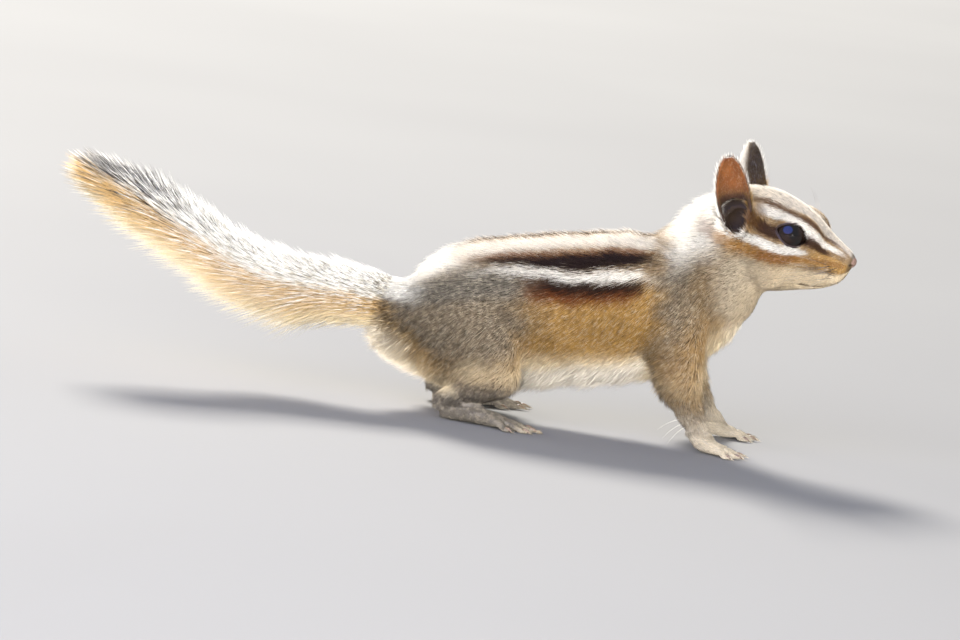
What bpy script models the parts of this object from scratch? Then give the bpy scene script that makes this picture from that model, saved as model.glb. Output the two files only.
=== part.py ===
"""A life-size chipmunk standing on all fours, head up and tail out behind.

The body is modelled whole, at the tips of its short coat, and parted with
thin cuts into head, neck, torso, legs and feet. Ears, eyes and the bushy
tail are made apart and set on it. Sizes below are in millimetres, with +X
towards the nose, +Y to the animal's left and +Z up, and the floor at zero.
"""

import math
import random

import bmesh
import bpy
from mathutils import Matrix, Vector
from mathutils.bvhtree import BVHTree

MM = 0.001
GAP = 0.32  # between nodes that meet
SIDES = (("right", -1), ("left", 1))

# The head: its own frame has its origin behind the eyes and +X towards the nose.
HEAD_PLACE = (60.0, 0.0, 56.0)
HEAD_TURN = 15.0  # degrees, towards the right
HEAD_NOD = 11.0
HEAD_TILT = 5.0
NOSE = 25.3  # from the head's origin to the tip of the nose

EYE_RADIUS = 4.1
EYE_ON_FACE = (8.8, 7.7, 3.7)
EYE_OUT = 68.0  # degrees, away from straight ahead
EYE_UP = 14.0
EYE_STANDS_PROUD = 1.9
LID_WALL = 0.85
LIDS_APART = (7.5, 5.7)  # length and height of the opening between the lids
LIDS_DROOP = -0.10  # fall of the opening towards the nose

MOUTH = ((14.2, -8.3), (16.0, -8.3), (18.0, -7.9), (20.0, -7.1), (21.6, -6.1), (22.6, -5.3))
MOUTH_GROOVE = 0.33
NOSTRIL = (NOSE - 1.7, 1.6, 0.1)

EAR_ROOT = (-5.2, 8.0, 0.6)
EAR_HEIGHT = 18.9
EAR_LEAN = (-0.37, 0.20, 0.92)
EAR_FACES = (0.42, 0.90, 0.0)
EAR_WALL = 0.85

CLAW_LENGTH, CLAW_RADIUS = 2.0, 0.42

TAIL_CORE = 4.6  # the tail's skin and under-fur, less than half as wide as its hair
LOCK_LENGTH, LOCK_WIDTH, LOCK_THICKNESS = 14.6, 5.4, 1.5
LOCK_ROWS_APART = 6.8

# Where the body is parted: a point of each cut and the way that it faces.
HEAD_CUT = ((49.0, 0, 56.0), (0.80, 0, 0.60))
NECK_CUT = ((45.2, 0, 39.2), (0.82, 0, 0.57))
FORELEG_CUT = ((45.5, 15.0, 12.0), (14.5, 10.0, 17.0))  # the middle and radii of a ball
HIND_LEG_CUT = ((-9.0, 17.5, 13.0), (17.5, 12.0, 18.5))

TRIANGLES = {
    "head": 1750,
    "neck": 320,
    "torso": 1300,
    "foreleg": 300,
    "hind_leg": 400,
    "forepaw": 440,
    "hind_foot": 520,
}


def clear_scene():
    for thing in list(bpy.data.objects):
        bpy.data.objects.remove(thing)


def link(name, mesh, collection=None):
    thing = bpy.data.objects.new(name, mesh)
    (collection or bpy.context.scene.collection).objects.link(thing)
    return thing


def baked(thing):
    """The object with its modifiers worked into its mesh."""
    bpy.context.view_layer.update()
    graph = bpy.context.evaluated_depsgraph_get()
    mesh = bpy.data.meshes.new_from_object(thing.evaluated_get(graph))
    thing.modifiers.clear()
    thing.data = mesh
    return thing


def between(rows, where):
    """A row read from a smooth curve through all the rows, at a place counted in rows."""
    last = len(rows) - 1
    i = min(int(where), last - 1)
    t = where - i
    a, b, c, d = (rows[min(max(i + k, 0), last)] for k in (-1, 0, 1, 2))
    return tuple(
        0.5 * (2 * q + (r - p) * t + (2 * p - 5 * q + 4 * r - s) * t * t + (3 * q - p - 3 * r + s) * t**3)
        for p, q, r, s in zip(a, b, c, d)
    )


def smoothed(rows, per_span):
    count = (len(rows) - 1) * per_span
    return [between(rows, k / per_span) for k in range(count + 1)]


def loft(name, rings):
    """A closed skin over rings of equal count, each a list of points in millimetres."""
    bm = bmesh.new()
    made = [[bm.verts.new(point * MM) for point in ring] for ring in rings]
    count = len(made[0])
    for one, two in zip(made, made[1:]):
        for k in range(count):
            bm.faces.new((one[k], one[(k + 1) % count], two[(k + 1) % count], two[k]))
    bm.faces.new(made[0][::-1])
    bm.faces.new(made[-1])
    bmesh.ops.recalc_face_normals(bm, faces=bm.faces)
    mesh = bpy.data.meshes.new(name)
    bm.to_mesh(mesh)
    bm.free()
    return link(name, mesh)


def ring_points(centre, side, up, half_width, half_height, pear, sides):
    """An oval ring, wider below its middle where pear is above zero."""
    ring = []
    for k in range(sides):
        turn = 2 * math.pi * k / sides
        c, s = math.cos(turn), math.sin(turn)
        ring.append(centre + side * (half_width * c * (1 - pear * s)) + up * (half_height * s))
    return ring


def sweep(name, stations, per_span=4, sides=24, flat_side=(0, 1, 0)):
    """A limb through stations of (x, y, z, half width, half height, pear)."""
    rows = smoothed(stations, per_span)
    rings = []
    for k, row in enumerate(rows):
        ahead, behind = rows[min(k + 1, len(rows) - 1)], rows[max(k - 1, 0)]
        along = (Vector(ahead[:3]) - Vector(behind[:3])).normalized()
        side = Vector(flat_side)
        side = (side - along * side.dot(along)).normalized()
        rings.append(ring_points(Vector(row[:3]), side, side.cross(along), *row[3:6], sides))
    return loft(name, rings)


def ball(name, centre, radii, turn=None, rings=14):
    """An ellipsoid, with its radii in millimetres."""
    bm = bmesh.new()
    bmesh.ops.create_uvsphere(bm, u_segments=rings * 2, v_segments=rings, radius=1.0)
    place = Matrix.Translation(Vector(centre) * MM) @ (turn or Matrix.Identity(4))
    bm.transform(place @ Matrix.Diagonal(Vector((*radii, 1000.0)) * MM))
    mesh = bpy.data.meshes.new(name)
    bm.to_mesh(mesh)
    bm.free()
    return link(name, mesh)


def slab(name, point, facing, reach=90.0, side=160.0):
    """A block whose near face holds the point, and which runs on the way that it faces."""
    bm = bmesh.new()
    bmesh.ops.create_cube(bm, size=1.0)
    bm.transform(Matrix.Translation((0, 0, 0.5)))
    bm.transform(Matrix.Diagonal((side * MM, side * MM, reach * MM, 1.0)))
    turn = Vector(facing).to_track_quat("Z", "Y").to_matrix().to_4x4()
    bm.transform(Matrix.Translation(Vector(point) * MM) @ turn)
    mesh = bpy.data.meshes.new(name)
    bm.to_mesh(mesh)
    bm.free()
    return link(name, mesh)


def copy_of(thing, name):
    return link(name, thing.data.copy())


def discard(*things):
    for thing in things:
        bpy.data.objects.remove(thing)


def boolean(thing, other, operation):
    """Cuts or crops the object with another, and keeps its largest closed surface."""
    step = thing.modifiers.new(operation.title(), "BOOLEAN")
    step.operation = operation
    step.object = other
    step.solver = "MANIFOLD"
    baked(thing)
    return keep_largest(thing)


def keep_largest(thing):
    bm = bmesh.new()
    bm.from_mesh(thing.data)
    bm.faces.ensure_lookup_table()
    seen, groups = set(), []
    for face in bm.faces:
        if face in seen:
            continue
        group, todo = [], [face]
        seen.add(face)
        while todo:
            one = todo.pop()
            group.append(one)
            for edge in one.edges:
                for near in edge.link_faces:
                    if near not in seen:
                        seen.add(near)
                        todo.append(near)
        groups.append(group)
    groups.sort(key=len)
    spare = [face for group in groups[:-1] for face in group]
    if spare:
        bmesh.ops.delete(bm, geom=spare, context="FACES")
    bm.to_mesh(thing.data)
    bm.free()
    return thing


def united(name, pieces):
    """One body from closed pieces that overlap."""
    first, rest = pieces[0], pieces[1:]
    group = bpy.data.collections.new(name + "_pieces")
    bpy.context.scene.collection.children.link(group)
    for piece in rest:
        bpy.context.scene.collection.objects.unlink(piece)
        group.objects.link(piece)
    step = first.modifiers.new("Join", "BOOLEAN")
    step.operation = "UNION"
    step.operand_type = "COLLECTION"
    step.collection = group
    step.solver = "MANIFOLD"
    baked(first)
    for piece in list(group.objects):
        bpy.data.objects.remove(piece)
    bpy.data.collections.remove(group)
    first.name = name
    return keep_largest(first)


def melted(name, pieces, grain, rounds):
    """Closed pieces run together into one smooth form, on a grid of the given grain."""
    bm = bmesh.new()
    for piece in pieces:
        bm.from_mesh(piece.data)
    mesh = bpy.data.meshes.new(name)
    bm.to_mesh(mesh)
    bm.free()
    discard(*pieces)
    form = link(name, mesh)
    grid = form.modifiers.new("Grid", "REMESH")
    grid.mode = "VOXEL"
    grid.voxel_size = grain * MM
    soften = form.modifiers.new("Soften", "SMOOTH")
    soften.factor = 0.5
    soften.iterations = rounds
    baked(form)
    return keep_largest(form)


def thinned(thing, triangles):
    """The same form in about so many triangles."""
    bm = bmesh.new()
    bm.from_mesh(thing.data)
    bmesh.ops.triangulate(bm, faces=bm.faces)
    have = len(bm.faces)
    bm.to_mesh(thing.data)
    bm.free()
    if have > triangles:
        step = thing.modifiers.new("Thin", "DECIMATE")
        step.ratio = triangles / have
        baked(thing)
    return thing


def head_frame():
    turn = (
        Matrix.Rotation(math.radians(-HEAD_TURN), 4, "Z")
        @ Matrix.Rotation(math.radians(HEAD_NOD), 4, "Y")
        @ Matrix.Rotation(math.radians(HEAD_TILT), 4, "X")
    )
    return Matrix.Translation(Vector(HEAD_PLACE)) @ turn


HEAD = head_frame()


def trunk():
    """Rump, belly, chest and neck as one oval sweep, from the root of the tail into the head."""
    stations = [
        (-37.5, 0, 26.2, 5.6, 6.0, 0.0),  # root of the tail
        (-31, 0, 24.4, 9.0, 9.0, 0.0),
        (-25, 0, 23.4, 12.6, 13.0, 0.03),  # rump
        (-17, 0, 24.2, 14.8, 17.2, 0.06),
        (-7, 0, 26.2, 15.4, 19.4, 0.10),  # hips
        (4, 0, 28.4, 15.2, 19.6, 0.14),
        (15, 0, 30.5, 14.9, 19.6, 0.15),  # belly
        (26, 0, 32.4, 14.3, 19.6, 0.12),
        (36, 0, 34.6, 13.2, 18.8, 0.08),  # chest
        (44.0, 0, 40.0, 12.0, 17.3, 0.06),
        (49.5, 0, 47.4, 10.9, 15.0, 0.0),  # neck
        (54.5, 0, 54.4, 9.8, 13.0, 0.0),
        (60, -0.5, 57.0, 8.0, 8.5, 0.0),
    ]
    return sweep("trunk", stations, per_span=4, sides=40)


def skull():
    """The head's own sweep, in rings square to the line from nape to nose."""
    rings = [  # along, top, bottom, half width, pear
        (-13.0, 6.5, -9.0, 6.4, 0.0),
        (-9.5, 9.8, -13.0, 9.4, 0.08),
        (-4.5, 11.5, -15.4, 10.4, 0.12),
        (0.0, 12.1, -15.6, 10.6, 0.16),
        (4.0, 11.8, -14.8, 10.2, 0.20),  # cheeks
        (8.0, 10.9, -13.4, 9.2, 0.22),
        (12.0, 9.3, -11.8, 7.8, 0.22),  # brow
        (15.0, 7.7, -10.5, 6.6, 0.18),
        (18.0, 5.9, -9.2, 5.6, 0.12),
        (21.0, 4.4, -7.4, 4.6, 0.05),  # muzzle
        (23.0, 3.5, -5.0, 3.5, 0.0),
        (24.4, 2.8, -2.4, 2.3, 0.0),
        (NOSE - 0.3, 2.1, -0.2, 1.1, 0.0),
    ]
    rows = smoothed(rings, 3)
    side, up = Vector((0, 1, 0)), Vector((0, 0, 1))
    made = []
    for along, top, bottom, half_width, pear in rows:
        centre = Vector((along, 0, (top + bottom) / 2))
        ring = ring_points(centre, side, up, half_width, (top - bottom) / 2, pear, 32)
        made.append([HEAD @ point for point in ring])
    return loft("skull", made)


def on_head(x, y, z):
    return HEAD @ Vector((x, y, z))


def face_pads():
    """Soft parts that stand out of the skull: cheeks, lids, whisker pads and the nose."""
    turn = HEAD.to_quaternion().to_matrix().to_4x4()
    pads = [ball("nose_pad", on_head(NOSE - 1.4, 0, 0.9), (1.5, 1.9, 1.6), turn)]
    for name, way in SIDES:
        middle, _ = eye_place(way)
        pads.append(ball("cheek_" + name, on_head(2.5, way * 6.0, -6.0), (9.5, 5.0, 7.6), turn))
        pads.append(ball("lids_" + name, middle, (EYE_RADIUS + LID_WALL,) * 3))
        pads.append(ball("orbit_" + name, on_head(8.4, way * 4.9, 3.1), (8.2, 3.9, 6.6), turn))
        pads.append(ball("lip_" + name, on_head(19.8, way * 2.1, -3.6), (4.0, 2.8, 3.5), turn))
    return pads


# Each leg: stations of (x, y from the middle, z, half width, half length, pear).
FORELEG_RIGHT = [
    (41.0, 7.5, 32.0, 6.5, 9.0, 0),  # shoulder
    (42.5, 10.5, 23.0, 6.0, 8.0, 0),
    (44.3, 12.6, 15.5, 5.0, 6.6, 0),  # elbow
    (47.4, 13.8, 10.0, 4.0, 4.8, 0),
    (50.2, 14.5, 6.0, 3.2, 3.7, 0),  # wrist
    (52.0, 15.0, 3.0, 2.9, 3.0, 0),
]
FORELEG_LEFT = [
    (41.5, 7.5, 32.0, 6.5, 9.0, 0),
    (43.5, 10.5, 23.0, 6.0, 8.0, 0),
    (46.4, 12.6, 15.5, 5.0, 6.2, 0),
    (50.4, 13.6, 10.0, 4.0, 4.6, 0),
    (53.8, 14.2, 6.0, 3.2, 3.6, 0),
    (56.0, 14.6, 3.0, 2.9, 3.0, 0),
]
THIGH = [
    (-14.0, 6.0, 31.0, 8.0, 11.0, 0),  # hip
    (-10.5, 9.6, 24.0, 8.6, 12.4, 0),
    (-6.0, 12.2, 17.0, 7.2, 11.0, 0),
    (-3.5, 13.8, 11.5, 5.0, 7.0, 0),  # knee
]
SHANK = [
    (-1.0, 13.9, 12.5, 4.6, 5.4, 0),
    (-6.0, 14.4, 10.2, 4.4, 5.2, 0),
    (-11.0, 14.5, 7.6, 3.6, 4.2, 0),
    (-14.4, 14.4, 5.0, 2.9, 3.2, 0),  # heel
    (-14.8, 14.3, 3.2, 2.6, 2.7, 0),
]
HIND_FOOT = [
    (-15.4, 14.2, 3.4, 2.2, 2.2, 0),
    (-13.0, 14.6, 3.2, 2.7, 2.6, 0),
    (-7.0, 15.8, 2.9, 3.0, 2.3, 0),
    (-1.5, 17.0, 2.3, 3.6, 1.9, 0),  # ball of the foot
    (1.0, 17.6, 2.0, 3.2, 1.5, 0),
]
HIND_TOES = [(-34, 3.6, 2.6), (-15, 6.2, 0.6), (0, 7.0, 0.0), (14, 6.6, 0.5), (31, 4.6, 2.0)]
FOREPAW = [
    (0.0, 0.0, 3.6, 2.8, 2.8, 0),
    (2.2, 0.4, 2.6, 3.0, 2.1, 0),
    (4.4, 0.9, 2.0, 2.9, 1.6, 0),
]
FORE_TOES = [(-34, 3.4, 0.8), (-12, 4.4, 0.0), (10, 4.3, 0.0), (32, 3.2, 0.7)]
TOE_RADIUS = 0.98
FLOOR_SINK = 0.45  # how far the soles are pressed below the floor before they are cut flat


def mirrored(stations, way, shift=0.0):
    return [(x + shift, way * y, z, *rest) for x, y, z, *rest in stations]


def stretch(stations, first, last):
    """The part of a limb between two of its stations, counted in rows."""
    return [between(stations, first + (last - first) * k / 4) for k in range(5)]


def leg(kind, way):
    """Where the stations of a leg lie, and the row at which its foot starts."""
    if kind == "hind":
        return mirrored(SHANK, way, hind_shift(way)), 2.0
    return mirrored(FORELEG_RIGHT if way < 0 else FORELEG_LEFT, way), 3.6


def hind_shift(way):
    return 0.0 if way < 0 else -2.5


def leg_pieces(side, way):
    arm, wrist = leg("fore", way)
    shank, heel = leg("hind", way)
    shift = hind_shift(way)
    return [
        sweep("arm_" + side, arm[:3] + stretch(arm, 3, wrist + 0.2)),
        sweep("thigh_" + side, mirrored(THIGH, way, shift)),
        sweep("shank_" + side, stretch(shank, 0, heel + 0.2)),
        ball("shoulder_" + side, (arm[0][0], way * 8.0, 31.0), (9.0, 6.2, 8.0)),
        ball("haunch_" + side, (-9.8 + shift, way * 9.6, 20.0), (14.4, 8.8, 13.2)),
        ball("knee_" + side, (-3.4 + shift, way * 13.0, 13.4), (8.2, 5.2, 7.4)),
    ]


def toes(side, way, root, heading, fan, kind):
    """Toes that fan from the end of a foot, each arched and ending in a pad, with where its claw starts."""
    made, claws = [], []
    spread = 5.6 if kind == "hind" else 4.8
    for k, (angle, length, back) in enumerate(fan):
        turn = math.radians(heading + angle) * way
        ahead = Vector((math.cos(turn), math.sin(turn), 0))
        facing = math.radians(heading) * way
        across = Vector((-math.sin(facing), math.cos(facing), 0)) * way
        place = (k / (len(fan) - 1) - 0.5) * spread
        start = Vector(root) + across * place - Vector((math.cos(facing), math.sin(facing), 0)) * back
        stations = []
        for part, height, radius in ((-0.2, 2.1, 1.0), (0.35, 2.3, 0.95), (0.75, 1.5, 0.95), (1.0, 1.05, 0.9)):
            point = start + ahead * length * part
            stations.append((point.x, point.y, height - 0.25, TOE_RADIUS * radius, TOE_RADIUS * radius, 0))
        made.append(sweep(f"toe_{kind}_{side}_{k}", stations, per_span=3, sides=12))
        tip = start + ahead * length
        made.append(ball(f"pad_{kind}_{side}_{k}", (tip.x, tip.y, 0.85), (1.2, 1.05, 1.05), rings=8))
        claws.append((tip, ahead))
    return made, claws


def claw(name, tip, ahead):
    """A short hooked claw that grows from the top of a toe's end."""
    curve = bpy.data.curves.new(name, "CURVE")
    curve.dimensions = "3D"
    curve.bevel_depth = CLAW_RADIUS * MM
    curve.bevel_resolution = 0
    curve.use_fill_caps = True
    line = curve.splines.new("POLY")
    path = ((0.0, 1.30, 1.0), (0.55, 1.35, 1.0), (0.85, 1.05, 0.8), (1.0, 0.55, 0.45))
    line.points.add(len(path) - 1)
    for point, (part, height, taper) in zip(line.points, path):
        place = (tip + ahead * (CLAW_LENGTH * part + 0.35)) * MM
        point.co = (place.x, place.y, height * MM, 1)
        point.radius = taper
    thing = bpy.data.objects.new(name, curve)
    bpy.context.scene.collection.objects.link(thing)
    return meshed(thing)


def meshed(thing):
    """The curve object as a mesh object with its caps welded on."""
    bpy.context.view_layer.update()
    graph = bpy.context.evaluated_depsgraph_get()
    mesh = bpy.data.meshes.new_from_object(thing.evaluated_get(graph))
    name = thing.name
    bpy.data.objects.remove(thing)
    bm = bmesh.new()
    bm.from_mesh(mesh)
    bmesh.ops.remove_doubles(bm, verts=bm.verts, dist=0.00002)
    bmesh.ops.recalc_face_normals(bm, faces=bm.faces)
    bm.to_mesh(mesh)
    bm.free()
    return link(name, mesh)


def foot(side, way, kind):
    """A paw with its toes and claws, flat where it stands, and the room that it takes up."""
    limb, start = leg(kind, way)
    if kind == "hind":
        sole = mirrored(HIND_FOOT, way, hind_shift(way))
        root, heading, fan = (sole[-1][0], sole[-1][1], 0), 12.0, HIND_TOES
    else:
        wrist = limb[-1]
        sole = [(wrist[0] + x - 0.6, wrist[1] + way * y, *rest) for x, y, *rest in FOREPAW]
        root, heading, fan = (sole[-1][0] + 0.2, sole[-1][1] + way * 0.1, 0), 10.0, FORE_TOES
    node = ("hind_foot_" if kind == "hind" else "forepaw_") + side
    ankle = sweep("ankle", stretch(limb, start, len(limb) - 1), sides=20)
    made, claws = toes(side, way, root, heading, fan, kind)
    form = melted(node, [sweep("sole", sole, sides=20), ankle, *made], 0.36, 3)
    room = swollen(form, node + "_room")
    thinned(form, TRIANGLES["hind_foot" if kind == "hind" else "forepaw"])
    nails = [claw(f"claw_{k}", tip, ahead) for k, (tip, ahead) in enumerate(claws)]
    form = united(node, [form, *nails])
    floor = slab("floor", (0, 0, FLOOR_SINK), (0, 0, -1), reach=30)
    boolean(form, floor, "DIFFERENCE")
    discard(floor)
    for thing in (form, room):
        thing.data.transform(Matrix.Translation((0, 0, -FLOOR_SINK * MM)))
    return form, room


def swollen(thing, name):
    """A copy that is wider all round by the gap between nodes."""
    wide = copy_of(thing, name)
    swell = wide.modifiers.new("Swell", "DISPLACE")
    swell.strength = GAP * MM
    swell.mid_level = 0.0
    return baked(wide)


def parted(name, form, cutter, wider):
    """Takes from the form what lies in the cutter, and leaves the gap around it."""
    piece = copy_of(form, name)
    boolean(piece, cutter, "INTERSECT")
    boolean(form, wider, "DIFFERENCE")
    discard(cutter, wider)
    return piece


def parted_by_plane(name, form, point, facing):
    apart = Vector(facing).normalized() * GAP
    return parted(
        name, form, slab("cut", point, facing), slab("cut_wide", Vector(point) - apart, facing)
    )


def parted_by_ball(name, form, centre, radii, turn=None):
    wide = tuple(r + GAP for r in radii)
    return parted(
        name, form, ball("cut", centre, radii, turn, 18), ball("cut_wide", centre, wide, turn, 18)
    )


def eye_place(way):
    """The middle of an eyeball and the way that it looks."""
    out, up = math.radians(EYE_OUT), math.radians(EYE_UP)
    x, y, z = EYE_ON_FACE
    looks = Vector((math.cos(out) * math.cos(up), way * math.sin(out) * math.cos(up), math.sin(up)))
    middle = Vector((x, way * y, z)) - looks * (EYE_RADIUS - EYE_STANDS_PROUD)
    return HEAD @ middle, (HEAD.to_3x3() @ looks).normalized()


def eyeball(side, way):
    middle, _ = eye_place(way)
    return ball("eye_" + side, middle, (EYE_RADIUS,) * 3, rings=9)


def lids_opening(way):
    """A long block with the almond outline of the opening between the lids, pointing out of the eye."""
    middle, looks = eye_place(way)
    ahead = HEAD.to_3x3() @ Vector((1, 0, LIDS_DROOP))
    ahead = (ahead - looks * ahead.dot(looks)).normalized()
    up = looks.cross(ahead) * -way
    rings = []
    for depth, wider in ((1.0, 1.0), (EYE_RADIUS + 4.0, 1.25)):
        ring = []
        for k in range(20):
            turn = 2 * math.pi * k / 20
            c, s = math.cos(turn), math.sin(turn)
            flat = ahead * (c * LIDS_APART[0] / 2) + up * (s * LIDS_APART[1] / 2 * (1 - 0.22 * c * c))
            ring.append(middle + looks * depth + flat * wider)
        rings.append(ring)
    return loft("lids_opening", rings)


def mouth_line(head):
    """A thin groove between the lips, sunk in the face from one corner of the mouth to the other."""
    tree = BVHTree.FromObject(head, bpy.context.evaluated_depsgraph_get())
    path = []
    for way in (-1, 1):
        half = []
        for x, z in MOUTH:
            start = on_head(x, way * 20, z) * MM
            aim = (HEAD.to_3x3() @ Vector((0, -way, 0))).normalized()
            hit = tree.ray_cast(start, aim)[0]
            half.append(hit)
        path += half if way < 0 else half[::-1]
    curve = bpy.data.curves.new("mouth_line", "CURVE")
    curve.dimensions = "3D"
    curve.bevel_depth = MOUTH_GROOVE * MM
    curve.bevel_resolution = 1
    curve.use_fill_caps = True
    line = curve.splines.new("POLY")
    line.points.add(len(path) - 1)
    for point, place in zip(line.points, path):
        point.co = (*place, 1)
    thing = bpy.data.objects.new("mouth_line", curve)
    bpy.context.scene.collection.objects.link(thing)
    return meshed(thing)


def finish_head(head):
    """Cuts the eyes' sockets and lids, the hollows of the ears, the mouth, nostrils and split lip."""
    turn = HEAD.to_quaternion().to_matrix().to_4x4()
    cutters = [mouth_line(head)]
    for side, way in SIDES:
        middle, _ = eye_place(way)
        socket = ball("socket", middle, (EYE_RADIUS + GAP,) * 3, rings=10)
        cutters.append(united("socket", [socket, lids_opening(way)]))
        slant = turn @ Matrix.Rotation(math.radians(way * 25), 4, "X")
        nostril = on_head(NOSTRIL[0], way * NOSTRIL[1], NOSTRIL[2])
        cutters.append(ball("nostril", nostril, (0.8, 0.6, 0.45), slant, 5))
        root, rise, faces, _ = ear_place(way)
        cutters.append(ball("ear_hollow", root + faces * 0.8 + rise * 1.5, (2.4, 2.4, 4.2), turn, 7))
    cutters.append(ball("lip_split", on_head(NOSE - 1.3, 0, -2.2), (0.9, 0.28, 1.7), turn, 6))
    for cutter in cutters:
        boolean(head, cutter, "DIFFERENCE")
        discard(cutter)
    return head


def ear_place(way):
    """The root of an ear, the way that it rises, the way that its cup faces and its width."""
    frame = HEAD.to_3x3()
    rise = (frame @ Vector((EAR_LEAN[0], way * EAR_LEAN[1], EAR_LEAN[2]))).normalized()
    faces = frame @ Vector((EAR_FACES[0], way * EAR_FACES[1], EAR_FACES[2]))
    faces = (faces - rise * faces.dot(rise)).normalized()
    return on_head(EAR_ROOT[0], way * EAR_ROOT[1], EAR_ROOT[2]), rise, faces, rise.cross(faces)


def ear(side, way, head):
    """A thin cup that opens outwards and forwards, closed to a tube low down, with its root on the head."""
    root, rise, faces, across = ear_place(way)
    levels = [  # how far up, half width, depth of the cup, how far its edges curl round
        (-0.12, 2.8, 2.8, 150),
        (0.05, 3.3, 3.1, 138),
        (0.22, 3.9, 3.1, 112),
        (0.42, 4.15, 2.7, 95),
        (0.62, 3.85, 2.1, 90),
        (0.80, 3.0, 1.5, 90),
        (0.93, 1.85, 0.9, 90),
        (1.0, 0.6, 0.4, 90),
    ]
    rows, across_count = smoothed(levels, 1), 10
    bm = bmesh.new()
    grid = []
    for up, half_width, depth, curl in rows:
        line = []
        for k in range(across_count + 1):
            turn = math.radians(curl) * (2 * k / across_count - 1)
            place = root + rise * (up * EAR_HEIGHT)
            place = place + across * (half_width * math.sin(turn)) - faces * (depth * math.cos(turn))
            line.append(bm.verts.new(place * MM))
        grid.append(line)
    for one, two in zip(grid, grid[1:]):
        for k in range(across_count):
            bm.faces.new((one[k], one[k + 1], two[k + 1], two[k]))
    bmesh.ops.recalc_face_normals(bm, faces=bm.faces)
    mesh = bpy.data.meshes.new("ear_" + side)
    bm.to_mesh(mesh)
    bm.free()
    shell = link("ear_" + side, mesh)
    wall = shell.modifiers.new("Wall", "SOLIDIFY")
    wall.thickness = EAR_WALL * MM
    wall.offset = 0.0
    baked(shell)
    clear = swollen(head, "clear")
    boolean(shell, clear, "DIFFERENCE")
    discard(clear)
    return shell


TAIL_LINE = [  # along the middle of the tail, from inside the rump to its tip
    (-30.0, 0.0, 25.8),
    (-42.0, 0.0, 27.0),
    (-55.0, 0.6, 27.2),
    (-68.0, 1.8, 29.6),
    (-82.0, 3.6, 35.6),
    (-95.5, 6.2, 42.0),
    (-108.0, 9.2, 47.2),
]
TAIL_PARTS = (  # name, where it starts and ends along the tail, and the locks in each of its rows
    ("tail_root", 0.0, 0.36, 8),
    ("tail_middle", 0.36, 0.69, 8),
    ("tail_tip", 0.69, 1.0, 6),
)
TAIL_START = -34.5  # where the tail leaves the rump


def tail_point(part):
    """A point along the tail's middle, the way that it runs, its side and its upper side."""
    last = len(TAIL_LINE) - 1
    here = Vector(between(TAIL_LINE, part * last))
    step = 0.01
    ahead = Vector(between(TAIL_LINE, min(part + step, 1) * last))
    behind = Vector(between(TAIL_LINE, max(part - step, 0) * last))
    along = (ahead - behind).normalized()
    side = Vector((0, 1, 0))
    side = (side - along * side.dot(along)).normalized()
    return here, along, side, along.cross(side) * -1


def tail_length():
    points = [tail_point(k / 60)[0] for k in range(61)]
    return sum((b - a).length for a, b in zip(points, points[1:]))


def core_radius(part):
    root, tip = min(part / 0.15, 1), max(part - 0.6, 0) / 0.4
    return TAIL_CORE * (1.35 - 0.35 * root) * (1 - 0.4 * tip)


def lock(name, part, turn, draw, lean=39.0):
    """A flat pointed lock of long hair, rooted in the core and bending back along the tail."""
    here, along, side, up = tail_point(part)
    out = side * math.cos(turn) + up * math.sin(turn)
    edge = up * math.cos(turn) - side * math.sin(turn)
    length = LOCK_LENGTH * draw.uniform(0.9, 1.1)
    lean = math.radians(lean * draw.uniform(0.92, 1.08) * (1 - 0.2 * max(part - 0.6, 0) / 0.4))
    sway = draw.uniform(-0.08, 0.08)
    place, before, rings = here + out * (core_radius(part) - 1.5), 0.0, []
    for reach, width, thick in ((0.0, 0.8, 1.0), (0.42, 1.0, 0.85), (0.78, 0.66, 0.6), (1.0, 0.14, 0.3)):
        bend = lean * (1 - 0.42 * reach)
        way = along * math.cos(bend) + out * math.sin(bend)
        place = place + (way + edge * sway) * length * (reach - before)
        normal = out * math.cos(bend) - along * math.sin(bend)
        half, deep = edge * (LOCK_WIDTH / 2 * width), normal * (LOCK_THICKNESS / 2 * thick)
        rings.append([place - half, place - deep, place + half, place + deep])
        before = reach
    return loft(name, rings)


def tail_part(name, start, end, around, draw, first_row):
    """One length of the tail: its core, and the rows of locks that grow from it."""
    trim = GAP / tail_length() / 2
    low = start + (trim if start > 0 else 0)
    high = end - (trim if end < 1 else 0)
    rings = []
    for k in range(11):
        here, _, side, up = tail_point(low + (high - low) * k / 10)
        radius = core_radius(low + (high - low) * k / 10)
        rings.append(ring_points(here, side, up, radius, radius, 0, 12))
    pieces = [loft(name, rings)]
    rows = round((end - start) * tail_length() / LOCK_ROWS_APART)
    for row in range(rows):
        part = low + (high - low) * (row + 0.2) / rows
        for k in range(around):
            turn = 2 * math.pi * (k + 0.5 * ((row + first_row) % 2) + draw.uniform(-0.1, 0.1)) / around
            pieces.append(lock(f"{name}_lock_{row}_{k}", part, turn, draw))
    if end >= 1:
        for k in range(4):
            turn = 2 * math.pi * k / 4
            pieces.append(lock(f"{name}_end_{k}", 0.97, turn, draw, 20.0))
    return united(name, pieces), first_row + rows


def tail():
    draw, made, row = random.Random(11), [], 0
    for name, start, end, around in TAIL_PARTS:
        part, row = tail_part(name, start, end, around, draw, row)
        made.append(part)
    behind = slab("behind", (TAIL_START, 0, 0), (-1, 0, 0))
    boolean(made[0], behind, "INTERSECT")
    discard(behind)
    return made


def paint(thing, name, colour, roughness):
    material = bpy.data.materials.get(name) or bpy.data.materials.new(name)
    material.use_nodes = True
    surface = material.node_tree.nodes["Principled BSDF"]
    surface.inputs["Base Color"].default_value = (*colour, 1)
    surface.inputs["Roughness"].default_value = roughness
    thing.data.materials.clear()
    thing.data.materials.append(material)


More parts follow.
